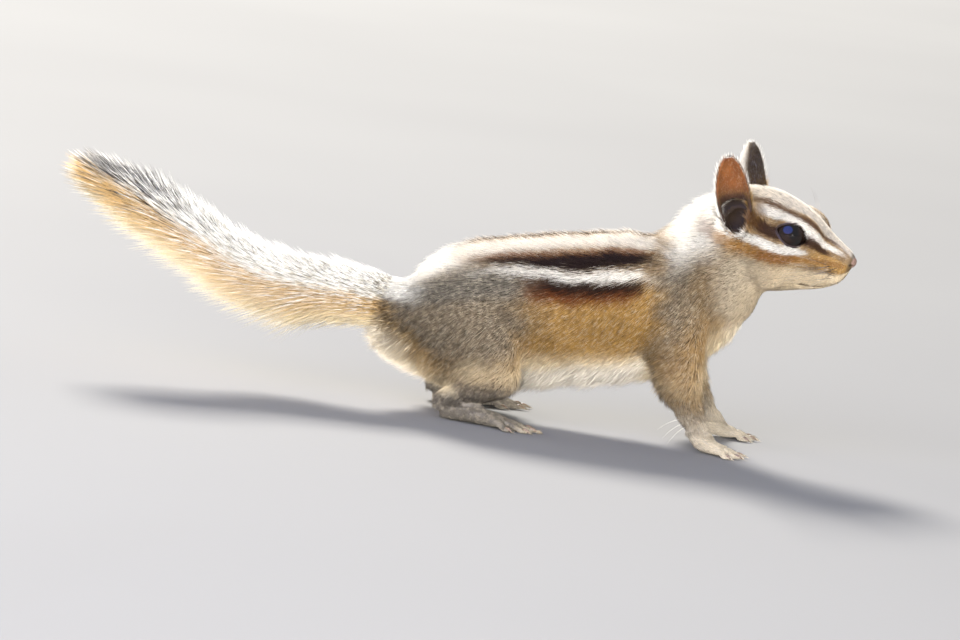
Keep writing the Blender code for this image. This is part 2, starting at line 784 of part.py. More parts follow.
FLANK = (0.42, 0.27, 0.13)
GREY = (0.30, 0.26, 0.22)
FACE = (0.50, 0.36, 0.22)
PAW = (0.40, 0.36, 0.32)
EAR_SKIN = (0.55, 0.24, 0.12)
TAIL_HAIR_COLOUR = (0.55, 0.42, 0.27)
EYE_BLACK = (0.008, 0.006, 0.006)


def centre_on_floor():
    """Moves everything so that the middle of the whole, seen from above, is the origin."""
    things = list(bpy.context.scene.collection.objects)
    points = [vert.co for thing in things for vert in thing.data.vertices]
    middle = [(min(p[k] for p in points) + max(p[k] for p in points)) / 2 for k in (0, 1)]
    for thing in things:
        thing.data.transform(Matrix.Translation((-middle[0], -middle[1], 0)))


def build():
    clear_scene()
    feet = {}
    for side, way in SIDES:
        for kind in ("fore", "hind"):
            feet[side, kind] = foot(side, way, kind)
    pieces = [trunk(), skull(), *face_pads()]
    for side, way in SIDES:
        pieces += leg_pieces(side, way)
    body = melted("torso", pieces, 0.7, 5)
    for paw, room in feet.values():
        boolean(body, room, "DIFFERENCE")
        discard(room)
        paint(paw, "paw", PAW, 0.7)

    head = parted_by_plane("head", body, *HEAD_CUT)
    neck = parted_by_plane("neck", body, *NECK_CUT)
    tail_end = slab("tail_end", (TAIL_START + GAP, 0, 0), (-1, 0, 0))
    boolean(body, tail_end, "DIFFERENCE")
    discard(tail_end)
    nodes = [(head, "head"), (neck, "neck"), (body, "torso")]
    for side, way in SIDES:
        (elbow,) = mirrored([FORELEG_CUT[0]], way)
        (haunch,) = mirrored([HIND_LEG_CUT[0]], way, hind_shift(way))
        arm = parted_by_ball("foreleg_" + side, body, elbow, FORELEG_CUT[1])
        thigh = parted_by_ball("hind_leg_" + side, body, haunch, HIND_LEG_CUT[1])
        nodes += [(arm, "foreleg"), (thigh, "hind_leg")]
    for thing, kind in nodes:
        thinned(thing, TRIANGLES[kind])
    head = finish_head(head)
    for side, way in SIDES:
        paint(ear(side, way, head), "ear_skin", EAR_SKIN, 0.8)
        paint(eyeball(side, way), "eye", EYE_BLACK, 0.05)
    for part in tail():
        paint(part, "tail_hair", TAIL_HAIR_COLOUR, 0.85)
    paint(head, "face_fur", FACE, 0.85)
    paint(neck, "body_fur", GREY, 0.85)
    paint(body, "flank_fur", FLANK, 0.85)
    for thing, kind in nodes[3:]:
        paint(thing, "body_fur", GREY, 0.85)
    centre_on_floor()


build()
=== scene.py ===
import math

import bmesh
import bpy
import numpy as np
from mathutils import Matrix, Vector
from mathutils.bvhtree import BVHTree


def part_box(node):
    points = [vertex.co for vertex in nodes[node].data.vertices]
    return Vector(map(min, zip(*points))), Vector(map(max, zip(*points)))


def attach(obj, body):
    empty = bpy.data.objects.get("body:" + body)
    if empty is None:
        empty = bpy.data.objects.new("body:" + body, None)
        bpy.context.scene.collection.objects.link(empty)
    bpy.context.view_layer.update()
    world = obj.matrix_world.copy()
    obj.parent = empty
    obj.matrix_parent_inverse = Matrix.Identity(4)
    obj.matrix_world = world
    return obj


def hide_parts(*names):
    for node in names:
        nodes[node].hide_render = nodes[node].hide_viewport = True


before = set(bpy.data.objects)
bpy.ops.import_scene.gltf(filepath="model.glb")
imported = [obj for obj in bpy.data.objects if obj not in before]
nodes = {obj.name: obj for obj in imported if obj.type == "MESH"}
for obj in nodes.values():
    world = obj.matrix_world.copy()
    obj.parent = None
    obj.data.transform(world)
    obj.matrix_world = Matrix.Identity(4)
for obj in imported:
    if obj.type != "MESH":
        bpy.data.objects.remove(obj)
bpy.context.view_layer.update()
MM = 0.001

# The animal's own frames, in millimetres: the body's has its floor at zero and
# +X to the nose, and the head's has its origin behind the eyes, turned with it.
# Both are placed by the middle of the solids' right eye.
EYE_RADIUS = 4.1
EYE_SHOWS = 1.9  # how far the eyeball's front stands out from the head at the eye
EYE_OUT, EYE_UP = math.radians(68), math.radians(14)
EYE_MIDDLE = (8.8, 7.7, 3.7)
HEAD_IN_BODY = (60.0, 0.0, 56.0)
SIDES = (("right", -1), ("left", 1))


def turned(degrees, axis):
    return Matrix.Rotation(math.radians(degrees), 3, axis)


HEAD_TURN = np.array(turned(-15, "Z") @ turned(11, "Y") @ turned(5, "X"))


def mirrored(place, way):
    """A place or heading on the left side, put on the side that the way says."""
    return np.array(place) * [1, way, 1]


def eye_looks(way):
    level = math.cos(EYE_UP)
    return mirrored((math.cos(EYE_OUT) * level, math.sin(EYE_OUT) * level, math.sin(EYE_UP)), way)


def eye_in_head(way):
    return mirrored(EYE_MIDDLE, way) - eye_looks(way) * (EYE_RADIUS - EYE_SHOWS)


low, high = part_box("eye_right")
solid_eye = (np.array(low) + np.array(high)) / 2 / MM
HEAD_AT = solid_eye - HEAD_TURN @ eye_in_head(-1)
BODY_AT = HEAD_AT - np.array(HEAD_IN_BODY)


def to_head(points):
    return (points - HEAD_AT) @ HEAD_TURN


def from_head(points):
    return np.asarray(points) @ HEAD_TURN.T + HEAD_AT


def eye_middle(way):
    return from_head(eye_in_head(way))


# The tail's middle line, from its root to its tip. The flesh under the skin runs
# along it, and so does the hair.
TAIL_LINE = np.array(
    [
        (-30.0, 0.0, 25.8),
        (-42.0, 0.0, 27.0),
        (-55.0, 0.6, 27.2),
        (-68.0, 1.8, 29.6),
        (-82.0, 3.6, 35.6),
        (-95.5, 6.2, 42.0),
        (-108.0, 9.2, 47.2),
    ]
)


def unit(rows):
    return rows / np.linalg.norm(rows, axis=-1, keepdims=True)


def tail_frames(parts):
    """Points along the tail's middle, with its way, its side and its upper side at each."""
    last = len(TAIL_LINE) - 1
    ends = np.vstack([2 * TAIL_LINE[0] - TAIL_LINE[1], TAIL_LINE, 2 * TAIL_LINE[-1] - TAIL_LINE[-2]])

    def at(part):
        where = np.clip(part, 0, 1) * last
        i = np.minimum(where.astype(int), last - 1)
        t = (where - i)[:, None]
        a, b, c, d = ends[i], ends[i + 1], ends[i + 2], ends[i + 3]
        bends = (2 * a - 5 * b + 4 * c - d) * t**2 + (3 * b - a - 3 * c + d) * t**3
        return 0.5 * (2 * b + (c - a) * t + bends)

    along = unit(at(parts + 0.01) - at(parts - 0.01))
    side = unit(np.array([0.0, 1.0, 0.0]) - along * along[:, 1:2])
    return at(parts) + BODY_AT, along, side, np.cross(side, along)


# One skin over all the flesh. The solids' flesh is swelled until its gaps close,
# run together on a fine grid with the tail's core, and drawn in by the coat's depth.
LIMBS = ("foreleg_", "hind_leg_", "forepaw_", "hind_foot_")
FLESH = ["head", "neck", "torso"] + [kind + side for kind in LIMBS for side, _ in SIDES]
EYE_ROOM = EYE_RADIUS + 1.25  # flesh that fills the socket before it is cut
SKIN_GRID = 0.42
LOWEST_SKIN = 0.15


def link(name, content):
    thing = bpy.data.objects.new(name, content)
    bpy.context.scene.collection.objects.link(thing)
    return thing


def mesh_of(bm, name):
    mesh = bpy.data.meshes.new(name)
    bm.to_mesh(mesh)
    bm.free()
    return mesh


def curve(value, *pairs):
    return np.interp(value, *zip(*pairs))


def ring(one, two, count):
    """Points round the origin, spanned by two half widths."""
    turn = np.linspace(0, 2 * math.pi, count, endpoint=False)[:, None]
    return np.cos(turn) * one + np.sin(turn) * two


def ball(radii, centre, turn=None, rings=24):
    """The mesh of an ellipsoid, in millimetres."""
    bm = bmesh.new()
    bmesh.ops.create_uvsphere(bm, u_segments=rings * 2, v_segments=rings, radius=1.0)
    place = Matrix.Translation(Vector(centre) * MM)
    if turn is not None:
        place = place @ Matrix(turn.tolist()).to_4x4()
    bm.transform(place @ Matrix.Diagonal(Vector((*radii, 1 / MM)) * MM))
    return mesh_of(bm, "ball")


def rings_mesh(rings, name="rings", looped=False):
    """A mesh over rings of points, all of equal count, closed by caps or, where it is looped, by itself."""
    bm = bmesh.new()
    made = [[bm.verts.new(Vector(p) * MM) for p in one] for one in rings]
    count = len(made[0])
    for one, two in zip(made, made[1:] + made[: int(looped)]):
        for k in range(count):
            bm.faces.new((one[k], one[(k + 1) % count], two[(k + 1) % count], two[k]))
    if not looped:
        bm.faces.new(made[0][::-1])
        bm.faces.new(made[-1])
    bmesh.ops.recalc_face_normals(bm, faces=bm.faces)
    return mesh_of(bm, name)


bm = bmesh.new()
for name in FLESH:
    bm.from_mesh(nodes[name].data)
bmesh.ops.remove_doubles(bm, verts=bm.verts, dist=0.001 * MM)
for _, way in SIDES:
    bm.from_mesh(ball((EYE_ROOM,) * 3, eye_middle(way), rings=16))
parts = np.linspace(0, 1, 30)
middle, _, side, upper = tail_frames(parts)
core = curve(parts, (0, 6.2), (0.2, 4.6), (0.7, 4.0), (1, 2.8))
bm.from_mesh(rings_mesh([m + r * ring(s, u, 20) for m, s, u, r in zip(middle, side, upper, core)]))
skin = link("skin", mesh_of(bm, "skin"))


def smooth(value, start, end):
    """0 below the start and 1 above the end."""
    t = np.clip((value - start) / (end - start), 0, 1)
    return t * t * (3 - 2 * t)


def falls(value, start, end):
    """1 below the start and 0 above the end."""
    return smooth(-value, -end, -start)


def limb_share(body):
    """1 on the legs and feet, 0 on the trunk."""
    x, wide = body[:, 0], np.abs(body[:, 1])
    height = body[:, 2] + 0.25 * np.maximum(6 - wide, 0)
    fore = smooth(x, 30, 34) * falls(height, 11, 17) * smooth(wide, 4, 7)
    hind = falls(x, 9, 14) * falls(height, 8, 14) * smooth(wide, 8, 10.5)
    return np.maximum(fore, hind)


def head_share(head):
    """1 on the face and crown, 0 on the neck."""
    return smooth(head[:, 0] + 0.35 * head[:, 2], -14, -6) * smooth(head[:, 2], -26, -19)


def by_region(points, trunk, limb, face):
    """Blends what holds on the trunk, the limbs (by height) and the face (by how far forward)."""
    body, head = points - BODY_AT, to_head(points)
    share = limb_share(body)
    value = trunk * (1 - share) + curve(body[:, 2], *limb) * share
    share = head_share(head)
    return value * (1 - share) + curve(head[:, 0], *face) * share


def nape_and_under(points):
    """1 on the nape, and 1 low on the chest and belly, where the coat is deeper."""
    x, _, z = (points - BODY_AT).T
    return smooth(x, 34, 46) * smooth(z, 40, 50), falls(z, 10, 17) * smooth(x, -6, 4)


def coat_depth(points):
    """How deep the skin lies under the tips of the short coat."""
    nape, under = nape_and_under(points)
    limb = ((0, 0.15), (5, 0.3), (9, 0.75), (13, 1.1), (18, 1.6))
    face = ((-10, 1.6), (0, 1.0), (9, 0.6), (18, 0.45), (24, 0.3))
    return by_region(points, 1.7 + 0.5 * nape + 0.2 * under, limb, face)


def swell(points):
    """How far the flesh is swelled before it is run together: less on the feet, whose toes stay apart."""
    return 0.4 - 0.2 * falls(points[:, 2] - BODY_AT[2], 6, 9)


def slim(points):
    """How much thinner the wrists are than the solids' legs, under their coat."""
    x, _, z = (points - BODY_AT).T
    return curve(z, (3.0, 0.0), (5.0, 0.55), (9.0, 1.0), (12.0, 0.7), (17.0, 0.0)) * smooth(x, 30, 34)


def shaped(thing, *steps):
    """The object with modifiers, each a kind and its settings, worked into its mesh."""
    for kind, settings in steps:
        step = thing.modifiers.new(kind.title(), kind)
        for key, value in settings.items():
            setattr(step, key, value)
    bpy.context.view_layer.update()
    mesh = bpy.data.meshes.new_from_object(thing.evaluated_get(bpy.context.evaluated_depsgraph_get()))
    thing.modifiers.clear()
    thing.data = mesh
    return thing


def rows_of(mesh, key):
    flat = np.empty(len(mesh.vertices) * 3, np.float32)
    mesh.vertices.foreach_get(key, flat)
    return flat.reshape(-1, 3).astype(float)


def coordinates(mesh):
    return rows_of(mesh, "co") / MM


def put(mesh, spots):
    mesh.vertices.foreach_set("co", (spots * MM).astype(np.float32).ravel())
    mesh.update()


def pushed(thing, far):
    """Moves each vertex along its normal, by millimetres."""
    put(thing.data, coordinates(thing.data) + rows_of(thing.data, "normal") * far[:, None])


pushed(skin, swell(coordinates(skin.data)))
run_together = ("REMESH", {"mode": "VOXEL", "voxel_size": SKIN_GRID * MM})
shaped(skin, run_together, ("SMOOTH", {"factor": 0.5, "iterations": 4}), ("DECIMATE", {"ratio": 0.6}))
points = coordinates(skin.data)
share = np.maximum(limb_share(points - BODY_AT), head_share(to_head(points)))
seam = (share > 0.02) & (share < 0.98) | (share == 0) & (points[:, 2] > 9)
skin.vertex_groups.new(name="seams").add(np.flatnonzero(seam).tolist(), 1.0, "REPLACE")
shaped(skin, ("SMOOTH", {"factor": 0.5, "iterations": 18, "vertex_group": "seams"}))
skin.vertex_groups.clear()
points = coordinates(skin.data)
pushed(skin, -swell(points) - coat_depth(points) - slim(points))
points = coordinates(skin.data)
points[:, 2] = np.maximum(points[:, 2], LOWEST_SKIN)
put(skin.data, points)

# The ears' places, which the skin's hollows, the coat and the ears themselves
# share: each ear's root, its rise, and the side that its cup faces.
EAR_ROOT, EAR_LEAN, EAR_FACES = (-5.2, 8.0, 0.6), (-0.37, 0.20, 0.92), (0.42, 0.90, 0.0)


def ear_frame(way):
    """The ear's rise, the way that its cup faces and its front edge's side, in the head's frame."""
    rise = unit(np.array(EAR_LEAN))
    faces = unit(np.array(EAR_FACES) - rise * (np.array(EAR_FACES) @ rise))
    return [mirrored(side, way) for side in (rise, faces, np.cross(faces, rise))]


def left_side(head):
    """Points in the head's frame, with its right side laid over its left."""
    return head * [1, 0, 1] + np.abs(head) * [0, 1, 0]


def in_ear(points):
    """How far points are toward the front edge, out of the cup and up the ear, from its root."""
    away = left_side(to_head(points)) - EAR_ROOT
    rise, faces, front = ear_frame(1)
    return away @ front, away @ faces, away @ rise


def ear_hollow(points):
    """How far a point is into the low part of the ears' cups: below 1 within them."""
    across, deep, high = in_ear(points)
    high = high - 2.8
    high = high / np.where(high > 0, 9.5, 5.5)
    spot = np.stack([across / (3.8 + 0.8 * smooth(high, 0.1, 0.6)), (deep + 0.6) / 4.3, high], 1)
    return np.linalg.norm(spot, axis=1)


def in_the_cup(points):
    """True between the front of an ear's cup and its back wall, where no hair may end."""
    across, deep, high = in_ear(points)
    return (np.hypot(across / 4.3, (high - 9.8) / 8.2) < 1) & (deep > -4.0) & (deep < 1.5)


# The skin's openings: sockets and the almond between the lids, the ears'
# hollows, the nostrils and the line of the mouth.
LIDS_APART = (7.8, 5.9)


def cut(thing, mesh):
    """Takes the mesh's room out of the object."""
    other = link("cutter", mesh)
    shaped(thing, ("BOOLEAN", {"operation": "DIFFERENCE", "object": other, "solver": "MANIFOLD"}))
    bpy.data.objects.remove(other)


def almond(way, wider=1.0):
    """The outline between the lids: flat offsets from the eye's middle, and the way that it looks."""
    looks = HEAD_TURN @ eye_looks(way)
    ahead = HEAD_TURN @ np.array([1, 0, -0.04])
    ahead = unit(ahead - looks * (ahead @ looks))
    up = np.cross(looks, ahead) * -way
    turn = np.linspace(0, 2 * math.pi, 48, endpoint=False)[:, None]
    c, s = np.cos(turn), np.sin(turn)
    long, tall = np.array(LIDS_APART) / 2
    return (ahead * c * long * (1 + 0.06 * c**6) + up * s * tall * (1 - 0.22 * c * c)) * wider, looks


def slanted(way):
    """The turn of a nostril, which opens a little to its own side."""
    return HEAD_TURN @ np.array(turned(way * 25, "X"))


def on_the_skin(tree, x, out, z, way):
    """Where a line from the side, level in the head's frame, meets the skin."""
    start, aim = from_head((x, way * out, z)), HEAD_TURN @ np.array([0, -way, 0])
    return np.array(tree.ray_cast(Vector(start) * MM, Vector(aim))[0]) / MM


for _, way in SIDES:
    flat, looks = almond(way, 1.03)
    near, far = (eye_middle(way) + looks * deep + flat * wide for deep, wide in ((1, 1.0), (8, 1.2)))
    cut(skin, rings_mesh([near, far]))
    cut(skin, ball((EYE_RADIUS + 0.25,) * 3, eye_middle(way), rings=32))
    cut(skin, ball((1.0, 0.75, 0.55), from_head((23.4, way * 1.5, 0.0)), slanted(way), 10))
    cut(skin, ball((2.2, 2.3, 3.7), from_head((-5.7, way * 8.4, 3.0)), HEAD_TURN, 12))
    rise, faces, front = ear_frame(way)
    cup = from_head(mirrored(EAR_ROOT, way) + rise * 4.6 + faces * 2.5)
    cut(skin, ball((3.5, 2.7, 6.2), cup, HEAD_TURN @ np.column_stack([front, faces, rise]), 16))
tree = BVHTree.FromObject(skin, bpy.context.evaluated_depsgraph_get())
lips = []
for way in (-1, 1):
    half = []
    for x in np.linspace(14.0, 22.6, 14):
        z = curve(x, (14, -8.3), (16, -8.3), (18, -7.9), (20, -7.1), (21.6, -6.1), (22.6, -5.3))
        half.append(on_the_skin(tree, x, 20, z, way))
    lips += half[::-way]
lips = np.array(lips)
mouth_rings = []
for k, place in enumerate(lips):
    way = unit(lips[min(k + 1, len(lips) - 1)] - lips[max(k - 1, 0)])
    one = unit(np.cross(way, HEAD_TURN @ np.array([0, 0, 1.0])))
    mouth_rings.append(place + ring(0.45 * one, 0.26 * np.cross(way, one), 8))
cut(skin, rings_mesh(mouth_rings))
skin.data.shade_smooth()

# The markings. Each is a share from 0 to 1 at a point of the coat or the skin,
# found from the angle round the trunk or the head, measured from the middle of the back.
TRUNK = (  # along, middle height, half width and half height of the trunk
    (-37, 26.2, 6, 6),
    (-31, 24.4, 9, 9),
    (-25, 23.4, 12.6, 13),
    (-17, 24.2, 14.8, 17.2),
    (-7, 26.2, 15.4, 19.4),
    (4, 28.4, 15.2, 19.6),
    (15, 30.5, 14.9, 19.6),
    (26, 32.4, 14.3, 19.6),
    (36, 34.6, 13.2, 18.8),
    (44, 40.0, 12, 17.3),
)
MARKS = ("dark", "rust", "white", "ochre", "grey", "cream")


def between(value, *edges):
    """Rises from 0 to 1 over the first two edges and falls again over the last two."""
    return smooth(value, *edges[:2]) * falls(value, *edges[2:])


def band(value, middle, half, soft):
    return 1 - smooth(np.abs(value - middle), half - soft, half + soft)


def trunk_angle(body):
    middle, wide, tall = (curve(body[:, 0], *[(row[0], row[k]) for row in TRUNK]) for k in (1, 2, 3))
    return np.arctan2(body[:, 1] / wide, (body[:, 2] - middle) / tall)


def head_angle(head):
    return np.arctan2(head[:, 1], head[:, 2] + 1.5)


def drift(points, size, seed):
    """Slow waves over the body, from about -1 to 1, that keep the coat and its edges from being even."""
    draw = np.random.default_rng(seed)
    total = np.zeros(len(points))
    for _ in range(7):
        way = draw.normal(0, 1, 3)
        way *= 2 * math.pi * draw.uniform(0.6, 1.6) / size / np.linalg.norm(way)
        total += np.sin(points @ way + draw.uniform(0, 6.3))
    return total / 3


def lay(marks, **shares):
    """Raises some of the markings to at least these shares."""
    for name, share in shares.items():
        marks[name] = np.maximum(marks[name], share)


def fade(marks, share, *names):
    """Takes some of the markings away by a share."""
    for name in names:
        marks[name] = marks[name] * (1 - share)


def trunk_marks(body, x, turn):
    """The stripes of the back, the flanks, the belly, the neck and the rump."""
    marks = {"dark": band(turn, 0.0, 0.12, 0.04) * between(x, -24, -14, 30, 40) * 0.95}
    middle = curve(x, (-16, 0.66), (-10, 0.69), (0, 0.78), (10, 0.85), (15, 0.87), (20, 0.85), (32, 0.82))
    half = curve(x, (-16, 0.03), (-5, 0.06), (2, 0.09), (10, 0.13), (20, 0.15), (30, 0.12), (34, 0.08))
    stripe = between(x, -18, -4, 29, 35)
    lay(marks, dark=band(turn, middle, half, 0.04) * stripe)
    marks["rust"] = band(turn, middle - half - 0.01, 0.06, 0.05) * stripe * 0.75
    marks["white"] = band(turn, 0.40, 0.20, 0.09) * between(x, -26, -12, 31, 36) * 0.72
    middle = (-18, 0.84), (-5, 0.92), (0, 0.95), (5, 1.01), (10, 1.07), (15, 1.11), (30, 1.11), (34, 1.2)
    middle = curve(x, *middle)
    half = curve(x, (-18, 0.05), (0, 0.06), (10, 0.08), (25, 0.09), (34, 0.05))
    lay(marks, white=band(turn, middle, half, 0.04) * between(x, -18, 2, 28, 36) * 0.97)
    middle = curve(x, (-2, 1.04), (5, 1.15), (10, 1.21), (15, 1.26), (30, 1.29))
    stripe = between(x, -2, 8, 27.5, 31)
    lay(marks, dark=band(turn, middle, 0.082, 0.05) * stripe * 0.97)
    lay(marks, rust=band(turn, middle + 0.10, 0.12, 0.09) * stripe)

    flank = between(x, -4, 13, 30, 40)
    knee = band(x, 3.5, 6, 3) * falls(body[:, 2], 10, 16)
    plain = 1 - 0.5 * knee
    marks["ochre"] = between(turn, 1.2, 1.45, 2.4, 2.8) * (0.18 + 0.82 * flank) * plain
    neck = smooth(x, 36, 48)
    marks["grey"] = between(turn, 0.5, 1.0, 1.9, 2.4) * (1 - 0.9 * flank) * plain * (1 - 0.3 * neck)
    begins = curve(x, (-20, 2.4), (-10, 2.05), (5, 2.2), (12, 2.27), (30, 2.27), (40, 2.4))
    marks["cream"] = np.maximum(smooth(turn, begins - 0.12, begins + 0.32), knee * 0.7)
    # Painted highlight: near white on the nape and over the top and the end of the rump, where the light
    # from behind rims them.
    lay(marks, white=falls(turn, 0.7, 1.3) * smooth(x, 33, 40) * 0.95)
    lay(marks, white=falls(turn, 0.6, 0.95) * falls(x, -20, -8) * 0.95)
    lay(marks, white=falls(turn, 1.1, 1.5) * falls(x, -28, -22) * 0.95)
    lay(marks, white=smooth(turn, 2.4, 2.7) * falls(np.abs(x - 12), 18, 26) * 0.65)
    throat = smooth(x, 50, 57) * smooth(turn, 1.2, 1.9)
    chest = smooth(x, 40, 50) * falls(body[:, 2], 24, 36) * falls(np.abs(body[:, 1]), 5, 10)
    lay(marks, white=throat * 0.35, cream=np.maximum(throat * 0.45, chest * 0.8), ochre=neck * 0.35)
    lay(marks, cream=smooth(x, 48, 58) * smooth(turn, 0.9, 1.7) * 0.3)
    lay(marks, ochre=falls(x, -34, -24) * smooth(turn, 1.1, 1.8) * 0.7)
    return marks


def rear_marks_and_glow(marks, body, x):
    """The pale and ochre back of the thighs, whose share it returns: the pale is partly the fringe's own
    colour and partly painted light shining through it from behind.
    """
    inward = (x + 33) * 0.566 + (body[:, 2] - 18) * 0.824
    lower_rear = falls(x, -14, -8) * smooth(body[:, 2], 5, 8)
    lay(marks, ochre=falls(inward, 2, 9) * lower_rear * 0.75, white=falls(inward, -1, 3) * lower_rear * 0.5)
    return falls(inward, 0.5, 5) * lower_rear


def limb_marks(marks, limb, x, low, behind):
    """The greyer legs and the paler feet."""
    fore = limb * smooth(x, 25, 30)
    hind = limb - fore
    fade(marks, limb, *MARKS)
    marks["ochre"] = marks["ochre"] + (fore * 0.42 + hind * 0.22) * (1 - low)
    marks["grey"] = marks["grey"] + limb * (0.75 - 0.3 * low * (fore > 0) + 0.1 * (hind > 0))
    toes = smooth(x, 2, 7) * hind + fore * smooth(x, 50, 54)
    marks["cream"] = marks["cream"] + low * (fore + toes) * 0.25
    # The back of the thighs is cream: partly the fringe's own colour, partly painted light shining through
    # it.
    lay(marks, cream=behind * 0.85, white=low * (fore * 0.36 + hind * 0.12))


def head_marks(marks, face, at, turn):
    """The stripes of the face, by how far forward and the angle round the head."""
    brow = curve(at, (-8, 0.44), (3, 0.45), (9, 0.58), (14, 0.58), (18, 0.37), (23, 0.3))
    brown = band(turn, brow, curve(at, (-6, 0.06), (9, 0.065), (14, 0.07), (21, 0.05)), 0.03)
    brown *= between(at, -7, 0, 18, 22.5)
    over = curve(at, (-4, 0.6), (4, 0.66), (9, 0.74), (14, 0.80), (18, 0.68), (22, 0.62))
    over = band(turn, over, 0.12, 0.04) * between(at, -4, 0, 19, 24)
    eye = curve(at, (-5, 0.9), (-2, 0.98), (2, 1.09), (6, 1.1), (10, 1.05), (13, 0.99), (19, 0.98))
    through = band(turn, eye, curve(at, (-4, 0.19), (4, 0.15), (12, 0.12), (16, 0.12), (19, 0.09)), 0.05)
    through *= between(at, -5.5, -3, 17, 20)
    under = curve(at, (-14, 1.36), (-5, 1.43), (5, 1.5), (9, 1.45), (12, 1.36), (15, 1.28))
    under = band(turn, under, curve(at, (-14, 0.08), (-4, 0.13), (10, 0.13), (14, 0.05)), 0.05)
    under *= between(at, -14, -9, 12, 14.5)
    cheek = (-16, 1.6), (-11, 1.64), (-3, 1.73), (3, 1.79), (8, 1.73), (12, 1.63), (18, 1.45), (23, 1.3)
    cheek = band(turn, curve(at, *cheek), curve(at, (-16, 0.16), (0, 0.125), (14, 0.13), (23, 0.16)), 0.05)
    cheek *= between(at, -19, -12, 22, 25) * smooth(at, -20, -12)
    patch = band(at, -10.5, 2.6, 1.5) * band(turn, 1.0, 0.42, 0.15)
    before_ear = band(at, -1.8, 2.0, 1.2) * band(turn, 0.85, 0.32, 0.15)
    muzzle = smooth(at, 12, 18) * between(turn, 0.95, 1.15, 1.7, 2.0)
    crown = falls(turn, 0.3, 0.5)
    below = smooth(turn, 1.85, 2.1)
    throat = np.maximum(below, smooth(turn, 2.2, 2.6)) * face

    fade(marks, face, *MARKS)
    lay(marks, rust=np.maximum(through * 0.65, brown * 0.5) * face, white=throat * 0.1)
    through *= 0.82 - 0.35 * falls(at, -3, 2)
    marks["dark"] = marks["dark"] + face * np.maximum(through, brown * 0.55)
    lay(marks, rust=cheek * (0.4 + 0.3 * band(at, 6, 5, 3)))
    lay(marks, rust=before_ear * 0.25)
    pale = np.maximum.reduce([over * 0.9, under, patch * 0.8, crown * 0.62])
    lay(marks, white=pale * np.maximum(face, smooth(at, -15, -10)))
    marks["ochre"] = marks["ochre"] + face * np.maximum(muzzle * 0.9, crown * 0.5)
    lay(marks, ochre=np.maximum(cheek * 0.9, before_ear * 0.8))
    marks["grey"] = marks["grey"] + face * np.maximum(crown * 0.6, below * 0.6 * falls(at, -2, 8))
    marks["cream"] = marks["cream"] + throat * curve(at, (-6, 0.3), (4, 0.42), (14, 0.65))


def bare_and_cup_shade(points, head):
    """How bare and dark the skin is: on the lips, round the nose, and in the ears' cups, where the dark is
    painted shade deep in the hollow.
    """
    # Painted shade: the skin in the low part of the ears' cups is dark.
    bare = falls(ear_hollow(points), 0.9, 1.15) * 0.92
    for place in lips:
        bare = np.maximum(bare, falls(np.linalg.norm(points - place, axis=1), 0.3, 0.6) * 0.6)
    return np.maximum(bare, smooth(head[:, 0], 23.4, 24.0) * smooth(head[:, 2], -2.4, -1.6) * 0.45)


def markings(points, ragged=0.0, seed=0):
    """The shares of dark, rust, white, ochre, grey and cream at points in millimetres."""
    draw = np.random.default_rng(seed)

    def stray():
        return draw.normal(0, 1, len(points)) * ragged

    body, head = points - BODY_AT, to_head(points)
    x = body[:, 0] + stray() * 20 + drift(points, 9, 6) * 1.2
    turn = np.abs(trunk_angle(body)) + stray() + 0.035 + 0.022 * drift(points, 6, 3)
    low = falls(body[:, 2] - stray() * 40, 4, 13)
    head_turn = np.abs(head_angle(head)) + stray() * 0.7
    marks = trunk_marks(body, x, turn)
    limb_marks(marks, limb_share(body), x, low, rear_marks_and_glow(marks, body, x))
    head_marks(marks, head_share(head), head[:, 0], head_turn)
    bare = bare_and_cup_shade(points, head)
    shares = np.clip(np.stack([marks[name] for name in MARKS], 1), 0, 1) * (1 - bare)[:, None]
    # The bare skin's dark share: the lips' and the nose's own, and painted shade in the ears' hollows.
    shares[:, 0] = np.maximum(shares[:, 0], bare)
    return shares


def put_colours(mesh, name, block):
    layer = mesh.attributes.new(name, "FLOAT_COLOR", "POINT")
    layer.data.foreach_set("color", np.hstack([block, np.ones((len(block), 1))]).astype(np.float32).ravel())


def put_shares(mesh, shares, hair):
    """Stores the markings, and how far along its hair and how light each vertex is."""
    for name, block in (("marks_a", shares[:, :3]), ("marks_b", shares[:, 3:]), ("hair", hair)):
        put_colours(mesh, name, block)


points = coordinates(skin.data)
put_shares(skin.data, markings(points), np.tile([0.25, 0.5, 0.0], (len(points), 1)))


class Wire:
    """A socket of a material's node tree. Sums on it add Math nodes."""

    def __init__(self, tree, socket):
        self.tree, self.socket = tree, socket

    @classmethod
    def node(cls, tree, kind, settings=(), sockets=(), output=0):
        made = tree.nodes.new(kind)
        for key, value in dict(settings).items():
            setattr(made, key, value)
        for key, value in dict(sockets).items():
            target = made.inputs[key]
            if isinstance(value, Wire):
                tree.links.new(value.socket, target)
            else:
                target.default_value = value
        return cls(tree, made.outputs[output])

    def sum(self, operation, one, two, clamp=False):
        settings = {"operation": operation, "use_clamp": clamp}
        return Wire.node(self.tree, "ShaderNodeMath", settings, {0: one, 1: two})

    def __add__(self, other):
        return self.sum("ADD", self, other)

    def __sub__(self, other):
        return self.sum("SUBTRACT", self, other)

    def __rsub__(self, other):
        return self.sum("SUBTRACT", other, self)

    def __mul__(self, other):
        return self.sum("MULTIPLY", self, other)

    __radd__, __rmul__ = __add__, __mul__

    def clamped(self):
        return self.sum("ADD", self, 0.0, True)

    def step(self, start, end):
        """0 below the start and 1 above the end."""
        sockets = {"Value": self, "From Min": start, "From Max": end}
        return Wire.node(self.tree, "ShaderNodeMapRange", {"interpolation_type": "SMOOTHSTEP"}, sockets)


